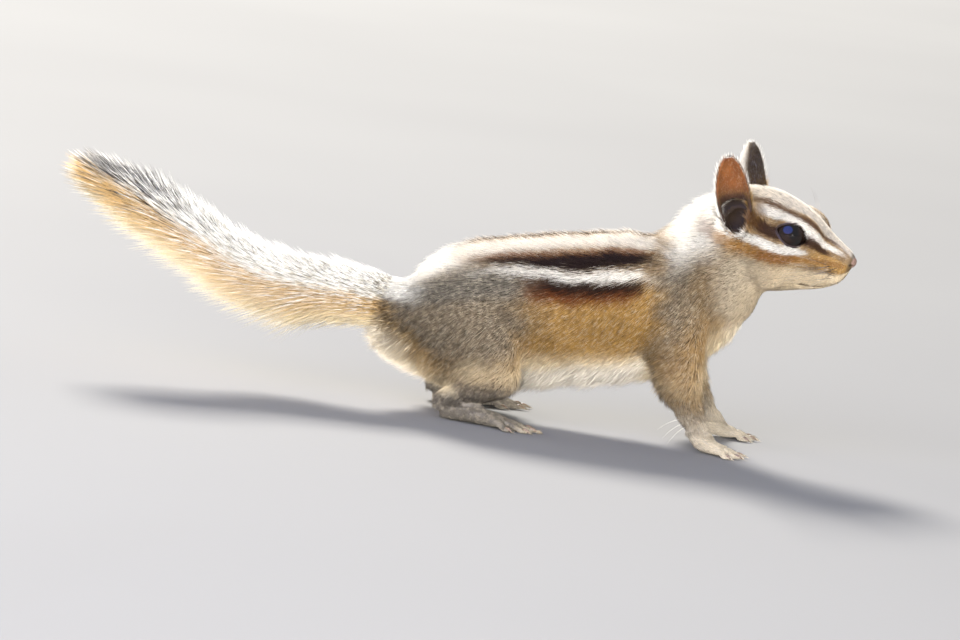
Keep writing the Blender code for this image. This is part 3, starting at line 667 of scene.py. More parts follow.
def mixed(tree, share, one, two, blend="MIX"):
    def colour(value):
        return value if isinstance(value, Wire) else (*value, 1)

    sockets = {0: share, 6: colour(one), 7: colour(two)}
    return Wire.node(tree, "ShaderNodeMix", {"data_type": "RGBA", "blend_type": blend}, sockets, 2)


def material(name):
    """A new material, its tree and its main shader."""
    made = bpy.data.materials.new(name)
    made.use_nodes = True
    return made, made.node_tree, made.node_tree.nodes["Principled BSDF"]


def plug(tree, shader, **sockets):
    for key, value in sockets.items():
        target = shader.inputs[key.replace("_", " ")]
        if isinstance(value, Wire):
            tree.links.new(value.socket, target)
        else:
            target.default_value = value


def attribute(tree, name):
    """The three shares that a colour attribute holds."""
    read = Wire.node(tree, "ShaderNodeAttribute", {"attribute_name": name}, output="Color")
    split = Wire.node(tree, "ShaderNodeSeparateColor", (), {"Color": read})
    return [Wire(tree, output) for output in split.socket.node.outputs]


def own_place(tree):
    return Wire.node(tree, "ShaderNodeTexCoord", output="Object")


def noise(tree, scale, detail, place=None, roughness=0.5):
    """Clouds of noise in the object's own place, finer as the scale rises."""
    sockets = {"Vector": place or own_place(tree), "Scale": scale, "Detail": detail, "Roughness": roughness}
    return Wire.node(tree, "ShaderNodeTexNoise", (), sockets)


def bumped(tree, height, strength, distance, invert=False):
    sockets = {"Strength": strength, "Distance": distance, "Height": height}
    return Wire.node(tree, "ShaderNodeBump", {"invert": invert}, sockets)


def shaded(tree, colour, shade):
    value = Wire.node(tree, "ShaderNodeCombineColor", (), {"Red": shade, "Green": shade, "Blue": shade})
    return mixed(tree, 1.0, colour, value, "MULTIPLY")


def fur_colour(tree):
    """The coat's colour from its markings, banded along each hair and different from hair to hair."""
    dark, rust, white = attribute(tree, "marks_a")
    ochre, grey, cream = attribute(tree, "marks_b")
    along, chance, other = attribute(tree, "hair")
    patches = noise(tree, 420.0, 3.0, roughness=0.6)
    colour = mixed(tree, patches.step(0.3, 0.7), (0.30, 0.195, 0.10), (0.42, 0.285, 0.145))
    colour = mixed(tree, grey, colour, (0.225, 0.20, 0.163))
    colour = mixed(tree, ochre * (patches * 1.3 + 0.28).clamped(), colour, (0.54, 0.315, 0.088))
    colour = mixed(tree, cream, colour, (0.95, 0.80, 0.55))
    colour = mixed(tree, white, colour, (0.92, 0.89, 0.84))
    colour = mixed(tree, rust, colour, (0.20, 0.062, 0.016))
    colour = mixed(tree, dark, colour, (0.022, 0.013, 0.009))
    plain = 1 - (dark + rust * 0.5 + white * 0.6 + cream * 0.9).clamped()
    luck = chance + (noise(tree, 850.0, 2.0) - 0.5) * 1.9
    pale_tip = luck.step(0.66, 0.95) * along.step(0.35, 0.8) * plain
    colour = mixed(tree, pale_tip * 0.75, colour, (0.74, 0.65, 0.50))
    black_hair = (1 - luck.step(0.12, 0.36)) * plain * (grey * 0.35 + 0.25)
    colour = mixed(tree, black_hair, colour, (0.035, 0.03, 0.028))
    root_shade = along.step(0.0, 0.55) * (0.5 - cream * 0.3) + (cream * 0.3 + 0.55)
    return shaded(tree, colour, root_shade * (other * 0.4 + 0.8)), along


def painted(thing, paint):
    thing.data.shade_smooth()
    thing.data.materials.clear()
    thing.data.materials.append(paint)


skin_fur, tree, shader = material("skin_fur")
colour, _ = fur_colour(tree)
lie = Wire.node(tree, "ShaderNodeMapping", (), {"Vector": own_place(tree), "Scale": (700.0, 2600.0, 2600.0)})
bump = bumped(tree, noise(tree, 1.0, 2.0, lie), 0.6, 0.0002)
plug(tree, shader, Base_Color=colour, Roughness=0.75, Normal=bump)
painted(skin, skin_fur)
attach(skin, "root")
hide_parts(*FLESH)

# The coat: many thin closed tufts, rooted in the skin, that lie along the body
# and reach the tips of the solids. Each is a patch of its coat's own map.
GROUND = 0.1
fur, tree, shader = material("fur")
colour, along = fur_colour(tree)
plug(tree, shader, Base_Color=colour, Roughness=0.62 - along * 0.12, Specular_IOR_Level=0.2)


def tufts(name, roots, up, way, length, width, lean, shares, chart, seed, rings=2):
    """One mesh of tufts. way is tangent to the skin, up is its normal, and lean is in radians."""
    draw = np.random.default_rng(seed)
    count = len(roots)
    across = unit(np.cross(up, way))
    length, width, lean = (np.broadcast_to(v, (count,))[:, None] for v in (length, width, lean))
    normal = up * np.cos(lean) - way * np.sin(lean)
    root_lean, tip_lean, thick = 1.45, 0.55, 0.45  # as shares of the lean and the width
    places = [roots - up * width * 0.5]
    blocks, alongs = [], []
    for k in range(rings):
        wide = width * (0.85, 0.95, 0.62)[k]
        middle = places[-1]
        blocks += [middle - across * wide / 2, middle + across * wide / 2, middle + normal * wide * thick]
        alongs += [k / rings] * 3
        bend = lean * (root_lean - (root_lean - tip_lean) * (k + 0.5) / rings)
        places.append(middle + (way * np.cos(bend) + up * np.sin(bend)) * length / rings)
    blocks.append(places[-1])
    alongs.append(1.0)
    per = len(blocks)
    verts = np.stack(blocks, 1).reshape(-1, 3)
    z = verts[:, 2]
    verts[:, 2] = np.where(z < GROUND, GROUND + 0.02 * (z - GROUND), z)
    faces = [(0, 2, 1)]
    for k in range(rings - 1):
        for a, b in ((0, 1), (1, 2), (2, 0)):
            faces += [(3 * k + a, 3 * k + b, 3 * k + 3 + b), (3 * k + a, 3 * k + 3 + b, 3 * k + 3 + a)]
    last = 3 * (rings - 1)
    faces += [(last + a, last + b, per - 1) for a, b in ((0, 1), (1, 2), (2, 0))]
    index = (np.arange(count)[:, None, None] * per + np.array(faces)[None]).reshape(-1, 3)
    mesh = bpy.data.meshes.new(name)
    mesh.vertices.add(len(verts))
    mesh.vertices.foreach_set("co", (verts * MM).astype(np.float32).ravel())
    mesh.loops.add(index.size)
    mesh.loops.foreach_set("vertex_index", index.astype(np.int32).ravel())
    mesh.polygons.add(len(index))
    mesh.polygons.foreach_set("loop_start", (np.arange(len(index)) * 3).astype(np.int32))
    mesh.polygons.foreach_set("loop_total", np.full(len(index), 3, np.int32))
    mesh.update(calc_edges=True)
    chances = [np.repeat(draw.random(count), per) for _ in range(2)]
    put_shares(mesh, np.repeat(shares, per, 0), np.stack([np.tile(alongs, count), *chances], 1))
    patch = np.array([(side, 2 * a - 1) for a, side in zip(alongs, [-1, 1, 0] * rings + [0])]) * 0.0014
    spots = (chart[:, None, :] + patch[None]).reshape(-1, 2)
    layer = mesh.uv_layers.new(name="OFBake")
    layer.data.foreach_set("uv", spots[index.ravel()].astype(np.float32).ravel())
    thing = link(name, mesh)
    painted(thing, fur)
    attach(thing, "root")
    return thing


def sampled(mesh, weight, count, seed):
    """Random points on a mesh with their normals, as many in each part as its weight asks."""
    draw = np.random.default_rng(seed)
    mesh.calc_loop_triangles()
    corners = np.empty(len(mesh.loop_triangles) * 3, np.int32)
    mesh.loop_triangles.foreach_get("vertices", corners)
    corners = corners.reshape(-1, 3)
    points = coordinates(mesh)
    a, b, c = (points[corners[:, k]] for k in range(3))
    area = np.linalg.norm(np.cross(b - a, c - a), axis=1) / 2 * weight((a + b + c) / 3)
    chosen = corners[draw.choice(len(corners), count, p=area / area.sum())]
    one, two = draw.random(count), draw.random(count)
    flip = one + two > 1
    one[flip], two[flip] = 1 - one[flip], 1 - two[flip]

    def blend(rows):
        return sum(share[:, None] * rows[chosen[:, k]] for k, share in enumerate((1 - one - two, one, two)))

    return blend(points), unit(blend(rows_of(mesh, "normal")))


def tangent(way, up):
    way = way - up * (way * up).sum(1, keepdims=True)
    return way / np.maximum(np.linalg.norm(way, axis=1, keepdims=True), 1e-6)


FLUFF = ((-11.0, 6.5, 4.5), (-1.9, 8.4, 3.6), (-5.0, 9.6, -1.2))  # behind, before and below the ear
FLUFF_TIGHT = (1.0, 1.5, 1.6)


def ear_fluff(points):
    """1 where the longer hair grows round the ears, 0 away from them."""
    side = left_side(to_head(points))
    far = [np.linalg.norm(side - spot, axis=1) * tight for spot, tight in zip(FLUFF, FLUFF_TIGHT)]
    return falls(np.min(far, axis=0), 1.5, 5.0)


def belly_hem(points):
    """1 on the lower edge of the belly, whose hair hangs longer and looser, 0 elsewhere."""
    body = points - BODY_AT
    edge = smooth(np.abs(trunk_angle(body)), 2.35, 2.75) * between(body[:, 0], -6, 3, 38, 46)
    return edge * (1 - limb_share(body))


def coat_length(points):
    x, _, z = (points - BODY_AT).T
    nape, under = nape_and_under(points)
    rump = falls(x, -32, -20) * smooth(z, 15, 22)
    fringe = falls(x, -22, -12) * falls(z, 16, 21)
    trunk = 3.7 + 1.6 * nape + 2.0 * rump + 0.5 * under + 1.6 * fringe + 1.2 * belly_hem(points)
    limb = ((0.5, 1.2), (4, 1.6), (8, 2.2), (13, 2.9), (20, 3.7))
    face = ((-12, 4.2), (-2, 2.5), (8, 1.7), (16, 1.15), (24, 0.7))
    return by_region(points, trunk, limb, face) + 1.9 * ear_fluff(points)


def coat_width(points):
    limb = ((0.5, 0.10), (5, 0.13), (12, 0.19), (20, 0.25))
    face = ((-12, 0.24), (0, 0.20), (12, 0.16), (24, 0.12))
    return by_region(points, 0.22, limb, face)


def trunk_lie(x, z, turn):
    """Back along the trunk, steeper on its sides, down over the rump and the chest."""
    steep = 0.1 + 0.55 * smooth(turn, 0.4, 1.5) + 0.5 * smooth(x, 28, 42) * smooth(turn, 0.5, 1.3)
    steep += 0.35 * falls(x, -12, 0) * smooth(turn, 0.7, 1.4)
    trunk = np.stack([-np.ones_like(x), 0 * x, -steep], 1)
    rear, down = falls(x, -34, -26)[:, None], falls(z, 12, 20)
    end = np.stack([-1.0 + 0.5 * down, 0 * x, 0.05 - 0.9 * down], 1)
    trunk = trunk * (1 - rear) + end * rear
    chest = (smooth(x, 44, 52) * falls(z, 38, 48))[:, None]
    return trunk * (1 - chest) + np.array([-0.25, 0, -1.0]) * chest


def head_lie(head):
    """Back along the head, and up before the ears, in the head's frame."""
    across, below = head[:, 1], head[:, 2] < -4
    ones = np.ones(len(head))
    back = np.stack([-ones, 0.25 * np.clip(across / 4, -1, 1), -0.25 - 0.2 * below], 1)
    climb = np.stack([-0.6 * ones, 0.5 * np.sign(across), ones], 1)
    rises = falls(np.linalg.norm(left_side(head) - [-1.4, 8.2, 4.0], axis=1), 3.0, 5.5)[:, None]
    return back * (1 - rises) + climb * rises


def lie_of_coat(points, up):
    """The way that the hair lies: back along the head and trunk, down the legs, out along the feet."""
    body, head = points - BODY_AT, to_head(points)
    x, z = body[:, 0], body[:, 2]
    leg = np.stack([np.where(x > 30, 0.25, -0.5), 0 * x, -np.ones_like(x)], 1)
    foot = falls(z, 4, 6.5)[:, None]
    leg = leg * (1 - foot) + np.array([1.0, 0, -0.15]) * foot
    limb, face = limb_share(body)[:, None], head_share(head)[:, None]
    way = trunk_lie(x, z, np.abs(trunk_angle(body))) * (1 - limb) + leg * limb
    return tangent(way * (1 - face) + (head_lie(head) @ HEAD_TURN.T) * face, up)


def off_the_skin(points):
    """0 over the eyes, the nose, the ears' hollows and the mouth, where no hair grows, and 1 elsewhere."""
    keep = np.ones(len(points))
    for _, way in SIDES:
        flat, looks = almond(way)
        away = points - eye_middle(way)
        ahead = unit(flat[0])
        along, rise = away @ ahead, away @ np.cross(looks, ahead)
        inside = (along / (LIDS_APART[0] / 2 + 0.2)) ** 2 + (rise / (LIDS_APART[1] / 2 + 0.2)) ** 2
        keep[(inside < 1) & (away @ looks > 0)] = 0
        keep[np.linalg.norm(away, axis=1) < EYE_RADIUS + 0.4] = 0
    keep[ear_hollow(points) < 0.92] = 0
    for place in lips:
        keep[np.linalg.norm(points - place, axis=1) < 0.5] = 0
    head = to_head(points)
    keep[(head[:, 0] > 23.5) & (head[:, 2] > -1.9)] = 0
    return keep


def coat(name, slot, weight, count, pieces, chart, seed, rings=1, longer=1.0, looser=1.0, finer=1.0):
    """Strews tufts over part of the skin: backwards, as long, wide and deep as the coat is there."""
    roots, up = sampled(skin.data, weight, count, seed)
    draw = np.random.default_rng(seed + 50)
    way = lie_of_coat(roots, up) + draw.normal(0, 0.11, roots.shape)
    way = tangent(way + np.cross(up, way) * (drift(roots, 16, 4) * 0.16)[:, None], up)
    length = coat_length(roots) * draw.uniform(0.75, 1.15, count) * longer
    lift = coat_depth(roots) / length * draw.uniform(0.6, 1.05, count) * (1 + 0.15 * drift(roots, 11, 5))
    x, _, z = (roots - BODY_AT).T
    behind = falls(x, -22, -12) * falls(z, 16, 21)
    lift *= 1 + 0.9 * ear_fluff(roots) + 0.5 * falls(z, 4, 7) + 1.1 * behind
    lift *= 1 + 0.8 * belly_hem(roots)
    lean = np.arcsin(np.clip(lift * looser, 0, 0.75))
    width = coat_width(roots) * draw.uniform(0.75, 1.25, count) * finer
    reach = length[:, None]
    marks = markings(roots + way * reach * 0.65, 0.032, seed)
    parts = (way, length, width, lean, marks, np.clip(chart(roots), 0.01, 0.99))
    clear = ~np.any([in_the_cup(roots + (way + 0.3 * up) * reach * far) for far in (0.3, 0.6, 0.9)], axis=0)
    for k in range(pieces):
        m = (np.arange(count) % pieces == k) & clear
        made = tufts(f"{name}_{k}", roots[m], up[m], *(part[m] for part in parts), seed + k, rings)


def trunk_weight(points):
    body = points - BODY_AT
    others = (limb_share(body) >= 0.5) | (head_share(to_head(points)) >= 0.5)
    return ~others * smooth(body[:, 0], -48, -41)


def trunk_chart(points):
    body = points - BODY_AT
    return np.stack([0.02 + 0.96 * (body[:, 0] + 48) / 112, 0.5 + 0.48 * trunk_angle(body) / math.pi], 1)


coat("coat_trunk", "flank_fur", trunk_weight, 141000, 3, trunk_chart, 10)


def edge_weight(points):
    """More of the longer, finer hair along the belly, the back and the rump."""
    body = points - BODY_AT
    turn = np.abs(trunk_angle(body))
    rump = falls(body[:, 0], -30, -20) * smooth(body[:, 2], 20, 26)
    return trunk_weight(points) * (0.3 + 1.4 * smooth(turn, 2.45, 2.75) + falls(turn, 0.2, 0.5) + rump)


loose = {"rings": 2, "longer": 1.2, "looser": 1.4, "finer": 0.5}
coat("coat_guard", "flank_fur", edge_weight, 15000, 1, trunk_chart, 14, **loose)

# The head's coat: short and fine, shortest on the muzzle and round the eyes,
# and thickest round the ears.


def head_weight(points):
    head = to_head(points)
    thick = curve(head[:, 0], (-10, 0.7), (5, 1.0), (24, 1.9)) * (1 + 2.2 * ear_fluff(points))
    return (head_share(head) >= 0.5) * off_the_skin(points) * thick


def head_chart(points):
    head = to_head(points)
    return np.stack([0.04 + 0.92 * (head[:, 0] + 16) / 42, 0.5 + 0.46 * head_angle(head) / math.pi], 1)


coat("coat_head", "face_fur", head_weight, 49000, 1, head_chart, 20)

# The legs' and feet's coat: short, running down the legs and out along the
# toes, and closest on the feet.


def limb_weight(points):
    body = points - BODY_AT
    z = body[:, 2]
    return (limb_share(body) >= 0.5) * (z > 0.35) * curve(z, (0, 4.5), (8, 2.4), (14, 1.0))


def limb_chart(points):
    x, y, z = (points - BODY_AT).T
    fore = x > 25
    corner = np.stack([fore * 0.5, (y > 0) * 0.5], 1)
    round_leg = np.arctan2(y - np.sign(y) * 15, x - np.where(fore, 48, -4))
    return corner + 0.02 + 0.46 * np.stack([round_leg / (2 * math.pi) + 0.5, np.clip(z / 18, 0, 1)], 1)


coat("coat_legs", "body_fur", limb_weight, 48000, 1, limb_chart, 30)

# The tail's hair: long and banded, ochre at its root, then black, with a pale tip, its own frosting
# brightened by painted light shining through it, laid back along the tail and paler above and below than on
# its sides.
TAIL_TUFTS = 30000
tail_fur, tree, shader = material("tail_fur")
dark, rust, white = attribute(tree, "marks_a")
_, _, cream = attribute(tree, "marks_b")
along, chance, other = attribute(tree, "hair")
root = mixed(tree, other, (0.58, 0.34, 0.10), (0.72, 0.48, 0.20))
root = mixed(tree, cream, root, (0.82, 0.67, 0.40))
root = mixed(tree, white, root, (0.74, 0.68, 0.56))
reach = along + chance * 0.16
black = reach.step(0.36, 0.46) * (0.25 + dark * 0.75) * (1 - cream * 0.8)
banded = mixed(tree, black, root, (0.030, 0.024, 0.020))
# The pale tip: the hair's own frosting, made brighter as painted light where light shines through the hair.
tip = mixed(tree, dark.step(0.75, 0.95), (0.96, 0.93, 0.87), (0.08, 0.07, 0.06))
tip = mixed(tree, cream * 0.75, tip, (0.80, 0.68, 0.46))
tip = mixed(tree, rust, tip, (0.68, 0.45, 0.19))
colour = mixed(tree, reach.step(0.62, 0.72), banded, tip)
colour = shaded(tree, colour, (along.step(0.0, 0.4) * 0.25 + 0.75) * (other * 0.3 + 0.85))
plug(tree, shader, Base_Color=colour, Roughness=0.55 - along * 0.1, Specular_IOR_Level=0.4)
draw = np.random.default_rng(8)
part = 0.015 + 0.975 * draw.random(TAIL_TUFTS) ** 0.92
turn = draw.uniform(-math.pi, math.pi, TAIL_TUFTS)
above = np.cos(turn)
middle, along_tail, side, upper = tail_frames(part)
out = side * np.sin(turn)[:, None] + upper * above[:, None]
core = curve(part, (0, 5.6), (0.08, 4.9), (0.2, 3.2), (0.7, 2.6), (1, 1.2)) - 0.3
roots = middle + out * core[:, None]
way = tangent(along_tail + draw.normal(0, 0.09, roots.shape), out)
clump = drift(roots + out * 4, 5, 9)
length = draw.uniform(8.5, 14.8, TAIL_TUFTS)
length *= curve(part, (0, 0.5), (0.1, 0.72), (0.28, 1), (0.9, 1), (1, 0.9))
length *= 1 + 0.18 * (above < 0) * falls(part, 0.4, 0.6)
length *= 1 - 0.25 * smooth(above, 0.2, 0.9)
lean = np.radians(curve(part, (0, 20), (0.1, 28), (0.25, 36), (0.8, 34), (1, 16)))
lean *= draw.uniform(0.45, 1.25, TAIL_TUFTS) * (1 + 0.12 * clump) * (1 + 0.15 * falls(above, -0.8, 0.0))
width = draw.uniform(0.14, 0.25, TAIL_TUFTS)
distal = smooth(part, 0.55, 0.9)
dark = np.where(draw.random(TAIL_TUFTS) < 0.75 * distal, 1.0, 0.65)
dark *= draw.random(TAIL_TUFTS) < 0.07 + 0.85 * distal + 0.55 * smooth(above, 0.1, 0.7)
flank = falls(np.abs(above + 0.34), 0.22, 0.58)
rust = flank * (draw.random(TAIL_TUFTS) < 0.8) * (0.75 + 0.25 * distal)
white = smooth(above, -0.1, 0.3) * (1 - 0.7 * smooth(part, 0.65, 0.95))
cream = falls(above, -0.75, -0.3) * (1 - 0.6 * smooth(part, 0.75, 1.0))
shares = np.clip(np.stack([dark, rust, white, 0 * part, 0 * part, cream], 1), 0, 1)
chart = np.stack([0.02 + 0.96 * part, 0.5 + 0.48 * turn / math.pi], 1)
rows = (roots, out, way, length, width, lean, shares, chart)
for k in range(2):
    made = tufts(f"coat_tail_{k}", *(row[k::2] for row in rows), 40 + k)
    painted(made, tail_fur)
    if k == 0:
        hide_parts("tail_root", "tail_middle", "tail_tip")

# The ears: the solids' cups, made round and thin, orange inside, painted light where the light
# comes through, dark low down, painted shade, with a pale edge and a dark and white back.
EAR_TALL = 18.9
EAR_TUFTS = 9500
ear_skin, tree, shader = material("ear_skin")
inner, level, back = attribute(tree, "ear")
# Painted light: the orange of light coming through the ear's skin.
inside = mixed(tree, noise(tree, 260.0, 4.0).step(0.35, 0.7), (0.26, 0.088, 0.022), (0.14, 0.044, 0.013))
# Painted shade: darker low in the cup.
inside = mixed(tree, 1 - level.step(0.32, 0.68), inside, (0.045, 0.026, 0.018))
outside = mixed(tree, back.step(0.35, 0.65), (0.10, 0.085, 0.08), (0.66, 0.61, 0.56))
colour = mixed(tree, inner.step(0.35, 0.65), outside, inside)
pale = inner.step(0.30, 0.5) * (1 - inner.step(0.55, 0.75)) * level.step(0.38, 0.52)
colour = mixed(tree, pale, colour, (0.80, 0.74, 0.66))
bump = bumped(tree, noise(tree, 1500.0, 2.0), 0.4, 0.0001)
plug(tree, shader, Base_Color=colour, Roughness=0.6, Normal=bump)


def ear_inside(away, up, rise, faces, front):
    """1 on the inside of an ear's cup and 0 on its back, from places and normals seen from its root."""
    across, high = (away @ front) / 5.2, (away @ rise - 8.5) / 9.6
    inward = -(across[:, None] * front + high[:, None] * rise)
    edge = np.clip(np.hypot(across, high), 0, 1)
    inward /= np.maximum(np.linalg.norm(inward, axis=1, keepdims=True), 1e-6)
    return 0.5 + 0.5 * np.clip(0.75 * (up @ faces) + 0.9 * edge * (up * inward).sum(1), -1, 1)


def on_the_ear(points, up, way):
    """Where points of an ear are: across it, up it, inside its cup and on its back's rear half."""
    rise, faces, front = (HEAD_TURN @ side for side in ear_frame(way))
    away = points - from_head(mirrored(EAR_ROOT, way))
    across = away @ front
    inner = ear_inside(away, up, rise, faces, front)
    return across, away @ rise / EAR_TALL, inner, 0.5 - 0.5 * np.clip(across / 3.0, -1, 1)


def evenly(points):
    return 1.0


for name, way in SIDES:
    bm = bmesh.new()
    bm.from_mesh(nodes["ear_" + name].data)
    bmesh.ops.remove_doubles(bm, verts=bm.verts, dist=0.001 * MM)
    ear = link("ear_skin_" + name, mesh_of(bm, "ear"))
    rounder = ("SUBSURF", {"levels": 2, "render_levels": 2})
    shaped(ear, rounder, ("SMOOTH", {"factor": 0.4, "iterations": 4}))
    _, level, inner, back = on_the_ear(coordinates(ear.data), rows_of(ear.data, "normal"), way)
    put_colours(ear.data, "ear", np.stack([inner, level, back], 1))
    painted(ear, ear_skin)
    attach(ear, "root")
    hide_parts("ear_" + name)

    roots, up = sampled(ear.data, evenly, EAR_TUFTS, 60)
    draw = np.random.default_rng(61)
    across, level, inner, back = on_the_ear(roots, up, way)
    outer, cupped = inner < 0.5, inner > 0.6
    rim = band(inner, 0.45, 0.2, 0.12)
    rise = HEAD_TURN @ ear_frame(way)[0]
    lie = tangent(rise + draw.normal(0, 0.15, roots.shape), up)
    keep = (draw.random(EAR_TUFTS) < np.where(inner > 0.7, 0.45, 1.0)) & (level > 0.02)
    length = np.where(inner > 0.7, 1.0, 1.4) * draw.uniform(0.7, 1.3, EAR_TUFTS) + rim * 0.8
    length *= 1 - 0.4 * smooth(level, 0.85, 0.97)
    lean = np.radians(10 + 22 * rim)
    fore_edge = falls(back, 0.2, 0.45) * falls(level, 0.4, 0.6)
    # Painted shade: the hair low in the cup and at the ear's root is dark.
    low = falls(level, 0.38, 0.48) * falls(np.abs(across), 2.8, 3.8)
    white = np.clip(rim + outer * smooth(back, 0.4, 0.7) * 0.8, 0, 1) * (1 - fore_edge) * (1 - low)
    dark = outer * falls(back, 0.35, 0.6) * (1 - rim) * 0.8
    dark = np.maximum.reduce([dark, cupped * falls(level, 0.28, 0.55) * 0.85, low * 0.95])
    # Painted light: the hair inside the cup is rust and ochre, lit by the light that comes through the ear.
    rust = cupped * 0.8 * (1 - dark)
    ochre = np.maximum(cupped * 0.5, fore_edge * 0.9)
    shares = np.stack([dark, rust, white, ochre, 0 * dark + 0.3, 0 * dark], 1)
    half = np.where(inner > 0.5, 0.24, -0.24)
    chart = np.stack([0.5 + 0.22 * across / 5 + half, 0.04 + 0.9 * np.clip(level, 0, 1)], 1)
    rows = [row[keep] for row in (roots, up, lie, length, np.full(EAR_TUFTS, 0.125), lean, shares, chart)]
    made = tufts("coat_ear_" + name, *rows, 62, rings=1)

# The eyes: black, wet balls with a trace of brown, between dark lids' rims
# that follow the almond on the ball.
eye_black, tree, shader = material("eye_black")
colour = mixed(tree, noise(tree, 300.0, 3.0).step(0.4, 0.7), (0.004, 0.003, 0.003), (0.016, 0.008, 0.005))
plug(tree, shader, Base_Color=colour, Roughness=0.06, Specular_IOR_Level=0.45)
lid_skin, tree, shader = material("lid_skin")
grain = noise(tree, 2400.0, 3.0)
colour = mixed(tree, grain.step(0.3, 0.7), (0.020, 0.014, 0.012), (0.055, 0.035, 0.028))
plug(tree, shader, Base_Color=colour, Roughness=0.42, Normal=bumped(tree, grain, 0.5, 0.00008))
for name, way in SIDES:
    eye = link("eyeball_" + name, ball((EYE_RADIUS,) * 3, eye_middle(way), rings=40))
    painted(eye, eye_black)
    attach(eye, "root")
    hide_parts("eye_" + name)
    outline, looks = almond(way)
    rings = []
    for flat in outline:
        deep = math.sqrt(max((EYE_RADIUS + 0.12) ** 2 - flat @ flat, 0.3))
        rings.append(eye_middle(way) + flat + looks * deep + ring(0.36 * unit(flat), 0.30 * looks, 10))
    rim = link("lid_rim_" + name, rings_mesh(rings, "lid_rim_" + name, looped=True))
    painted(rim, lid_skin)
    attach(rim, "root")

# The nose: a small bare pad, grey-pink and pebbled, with its nostrils and the
# split below them.
nose_skin, tree, shader = material("nose_skin")
cells = {"Vector": own_place(tree), "Scale": 2600.0}
pebbles = Wire.node(tree, "ShaderNodeTexVoronoi", (), cells, "Distance")
colour = mixed(tree, pebbles.step(0.1, 0.7), (0.33, 0.215, 0.175), (0.20, 0.13, 0.105))
bump = bumped(tree, pebbles, 0.5, 0.0001, invert=True)
plug(tree, shader, Base_Color=colour, Roughness=0.6, Specular_IOR_Level=0.25, Normal=bump)
nose = link("nose", ball((1.5, 1.75, 1.55), from_head((23.75, 0, 0.55)), HEAD_TURN, 24))
for _, way in SIDES:
    cut(nose, ball((1.0, 0.62, 0.42), from_head((24.4, way * 1.35, -0.1)), slanted(way), 10))
cut(nose, ball((0.8, 0.18, 1.3), from_head((25.0, 0, -1.0)), HEAD_TURN, 10))
painted(nose, nose_skin)
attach(nose, "root")

# The claws: small, hooked and pale horn, one from the end of each toe. Each is
# swept forward and down to its point over eight-sided rings.
horn, tree, shader = material("horn")
colour = mixed(tree, noise(tree, 1800.0, 2.0).step(0.3, 0.7), (0.30, 0.22, 0.16), (0.16, 0.11, 0.08))
plug(tree, shader, Base_Color=colour, Roughness=0.35)
SOLES = (  # kind, end of the sole, its heading in degrees and its side
    ("hind", (1.0, -17.6), 12, -1),
    ("hind", (-1.5, 17.6), 12, 1),
    ("fore", (56.0, -16.0), 10, -1),
    ("fore", (60.0, 15.6), 10, 1),
)
FANS = {  # each toe's angle, reach and set-back, and how wide the toes' roots spread
    "hind": (((-34, 3.6, 2.6), (-15, 6.2, 0.6), (0, 7.0, 0.0), (14, 6.6, 0.5), (31, 4.6, 2.0)), 5.6),
    "fore": (((-34, 3.4, 0.8), (-12, 4.4, 0.0), (10, 4.3, 0.0), (32, 3.2, 0.7)), 4.8),
}
CLAW = ((-0.3, 0.95, 0.40), (0.3, 1.02, 0.40), (0.9, 0.95, 0.34), (1.5, 0.70, 0.24), (2.1, 0.32, 0.10))
UP = np.array([0.0, 0.0, 1.0])


def heading(degrees):
    turn = math.radians(degrees)
    return np.array([math.cos(turn), math.sin(turn), 0])


bm = bmesh.new()
for kind, (x, y), facing, way in SOLES:
    fan, wide = FANS[kind]
    ahead = heading(facing * way)
    across = np.cross(UP, ahead) * way
    for k, (angle, reach, back) in enumerate(fan):
        out = heading((facing + angle) * way)
        root = np.array([x, y, 0]) + [BODY_AT[0], BODY_AT[1], 0]
        tip = root + across * (k / (len(fan) - 1) - 0.5) * wide - ahead * back + out * reach
        side = np.cross(out, UP)
        rings = [tip + out * far + UP * tall + thick * ring(0.8 * side, UP, 8) for far, tall, thick in CLAW]
        bm.from_mesh(rings_mesh(rings))
claws = link("claws", mesh_of(bm, "claws"))
painted(claws, horn)
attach(claws, "root")

# The whiskers: fine tapered hairs on the lips, over the eyes and at the wrists,
# dark or pale, that droop toward their ends.
whisker_hair, tree, shader = material("whisker_hair")
colour = mixed(tree, noise(tree, 160.0, 1.0).step(0.35, 0.65), (0.05, 0.035, 0.03), (0.55, 0.48, 0.42))
high = Wire.node(tree, "ShaderNodeSeparateXYZ", (), {"Vector": own_place(tree)}, "Z")
colour = mixed(tree, high.step(0.024, 0.020), colour, (0.85, 0.82, 0.76))
plug(tree, shader, Base_Color=colour, Roughness=0.35)
draw = np.random.default_rng(5)
tree = BVHTree.FromObject(skin, bpy.context.evaluated_depsgraph_get())
bm = bmesh.new()


def whisker(root, way, droop, length, thick):
    way = unit(way)
    one = unit(np.cross(way, [0.1, 0.2, 1.0]))
    two = np.cross(way, one)
    rings = []
    for t in np.linspace(0, 1, 9):
        middle = root + way * length * t + droop * length * t * t
        rings.append(middle + thick * (1 - 0.85 * t) * ring(one, two, 4))
    bm.from_mesh(rings_mesh(rings))


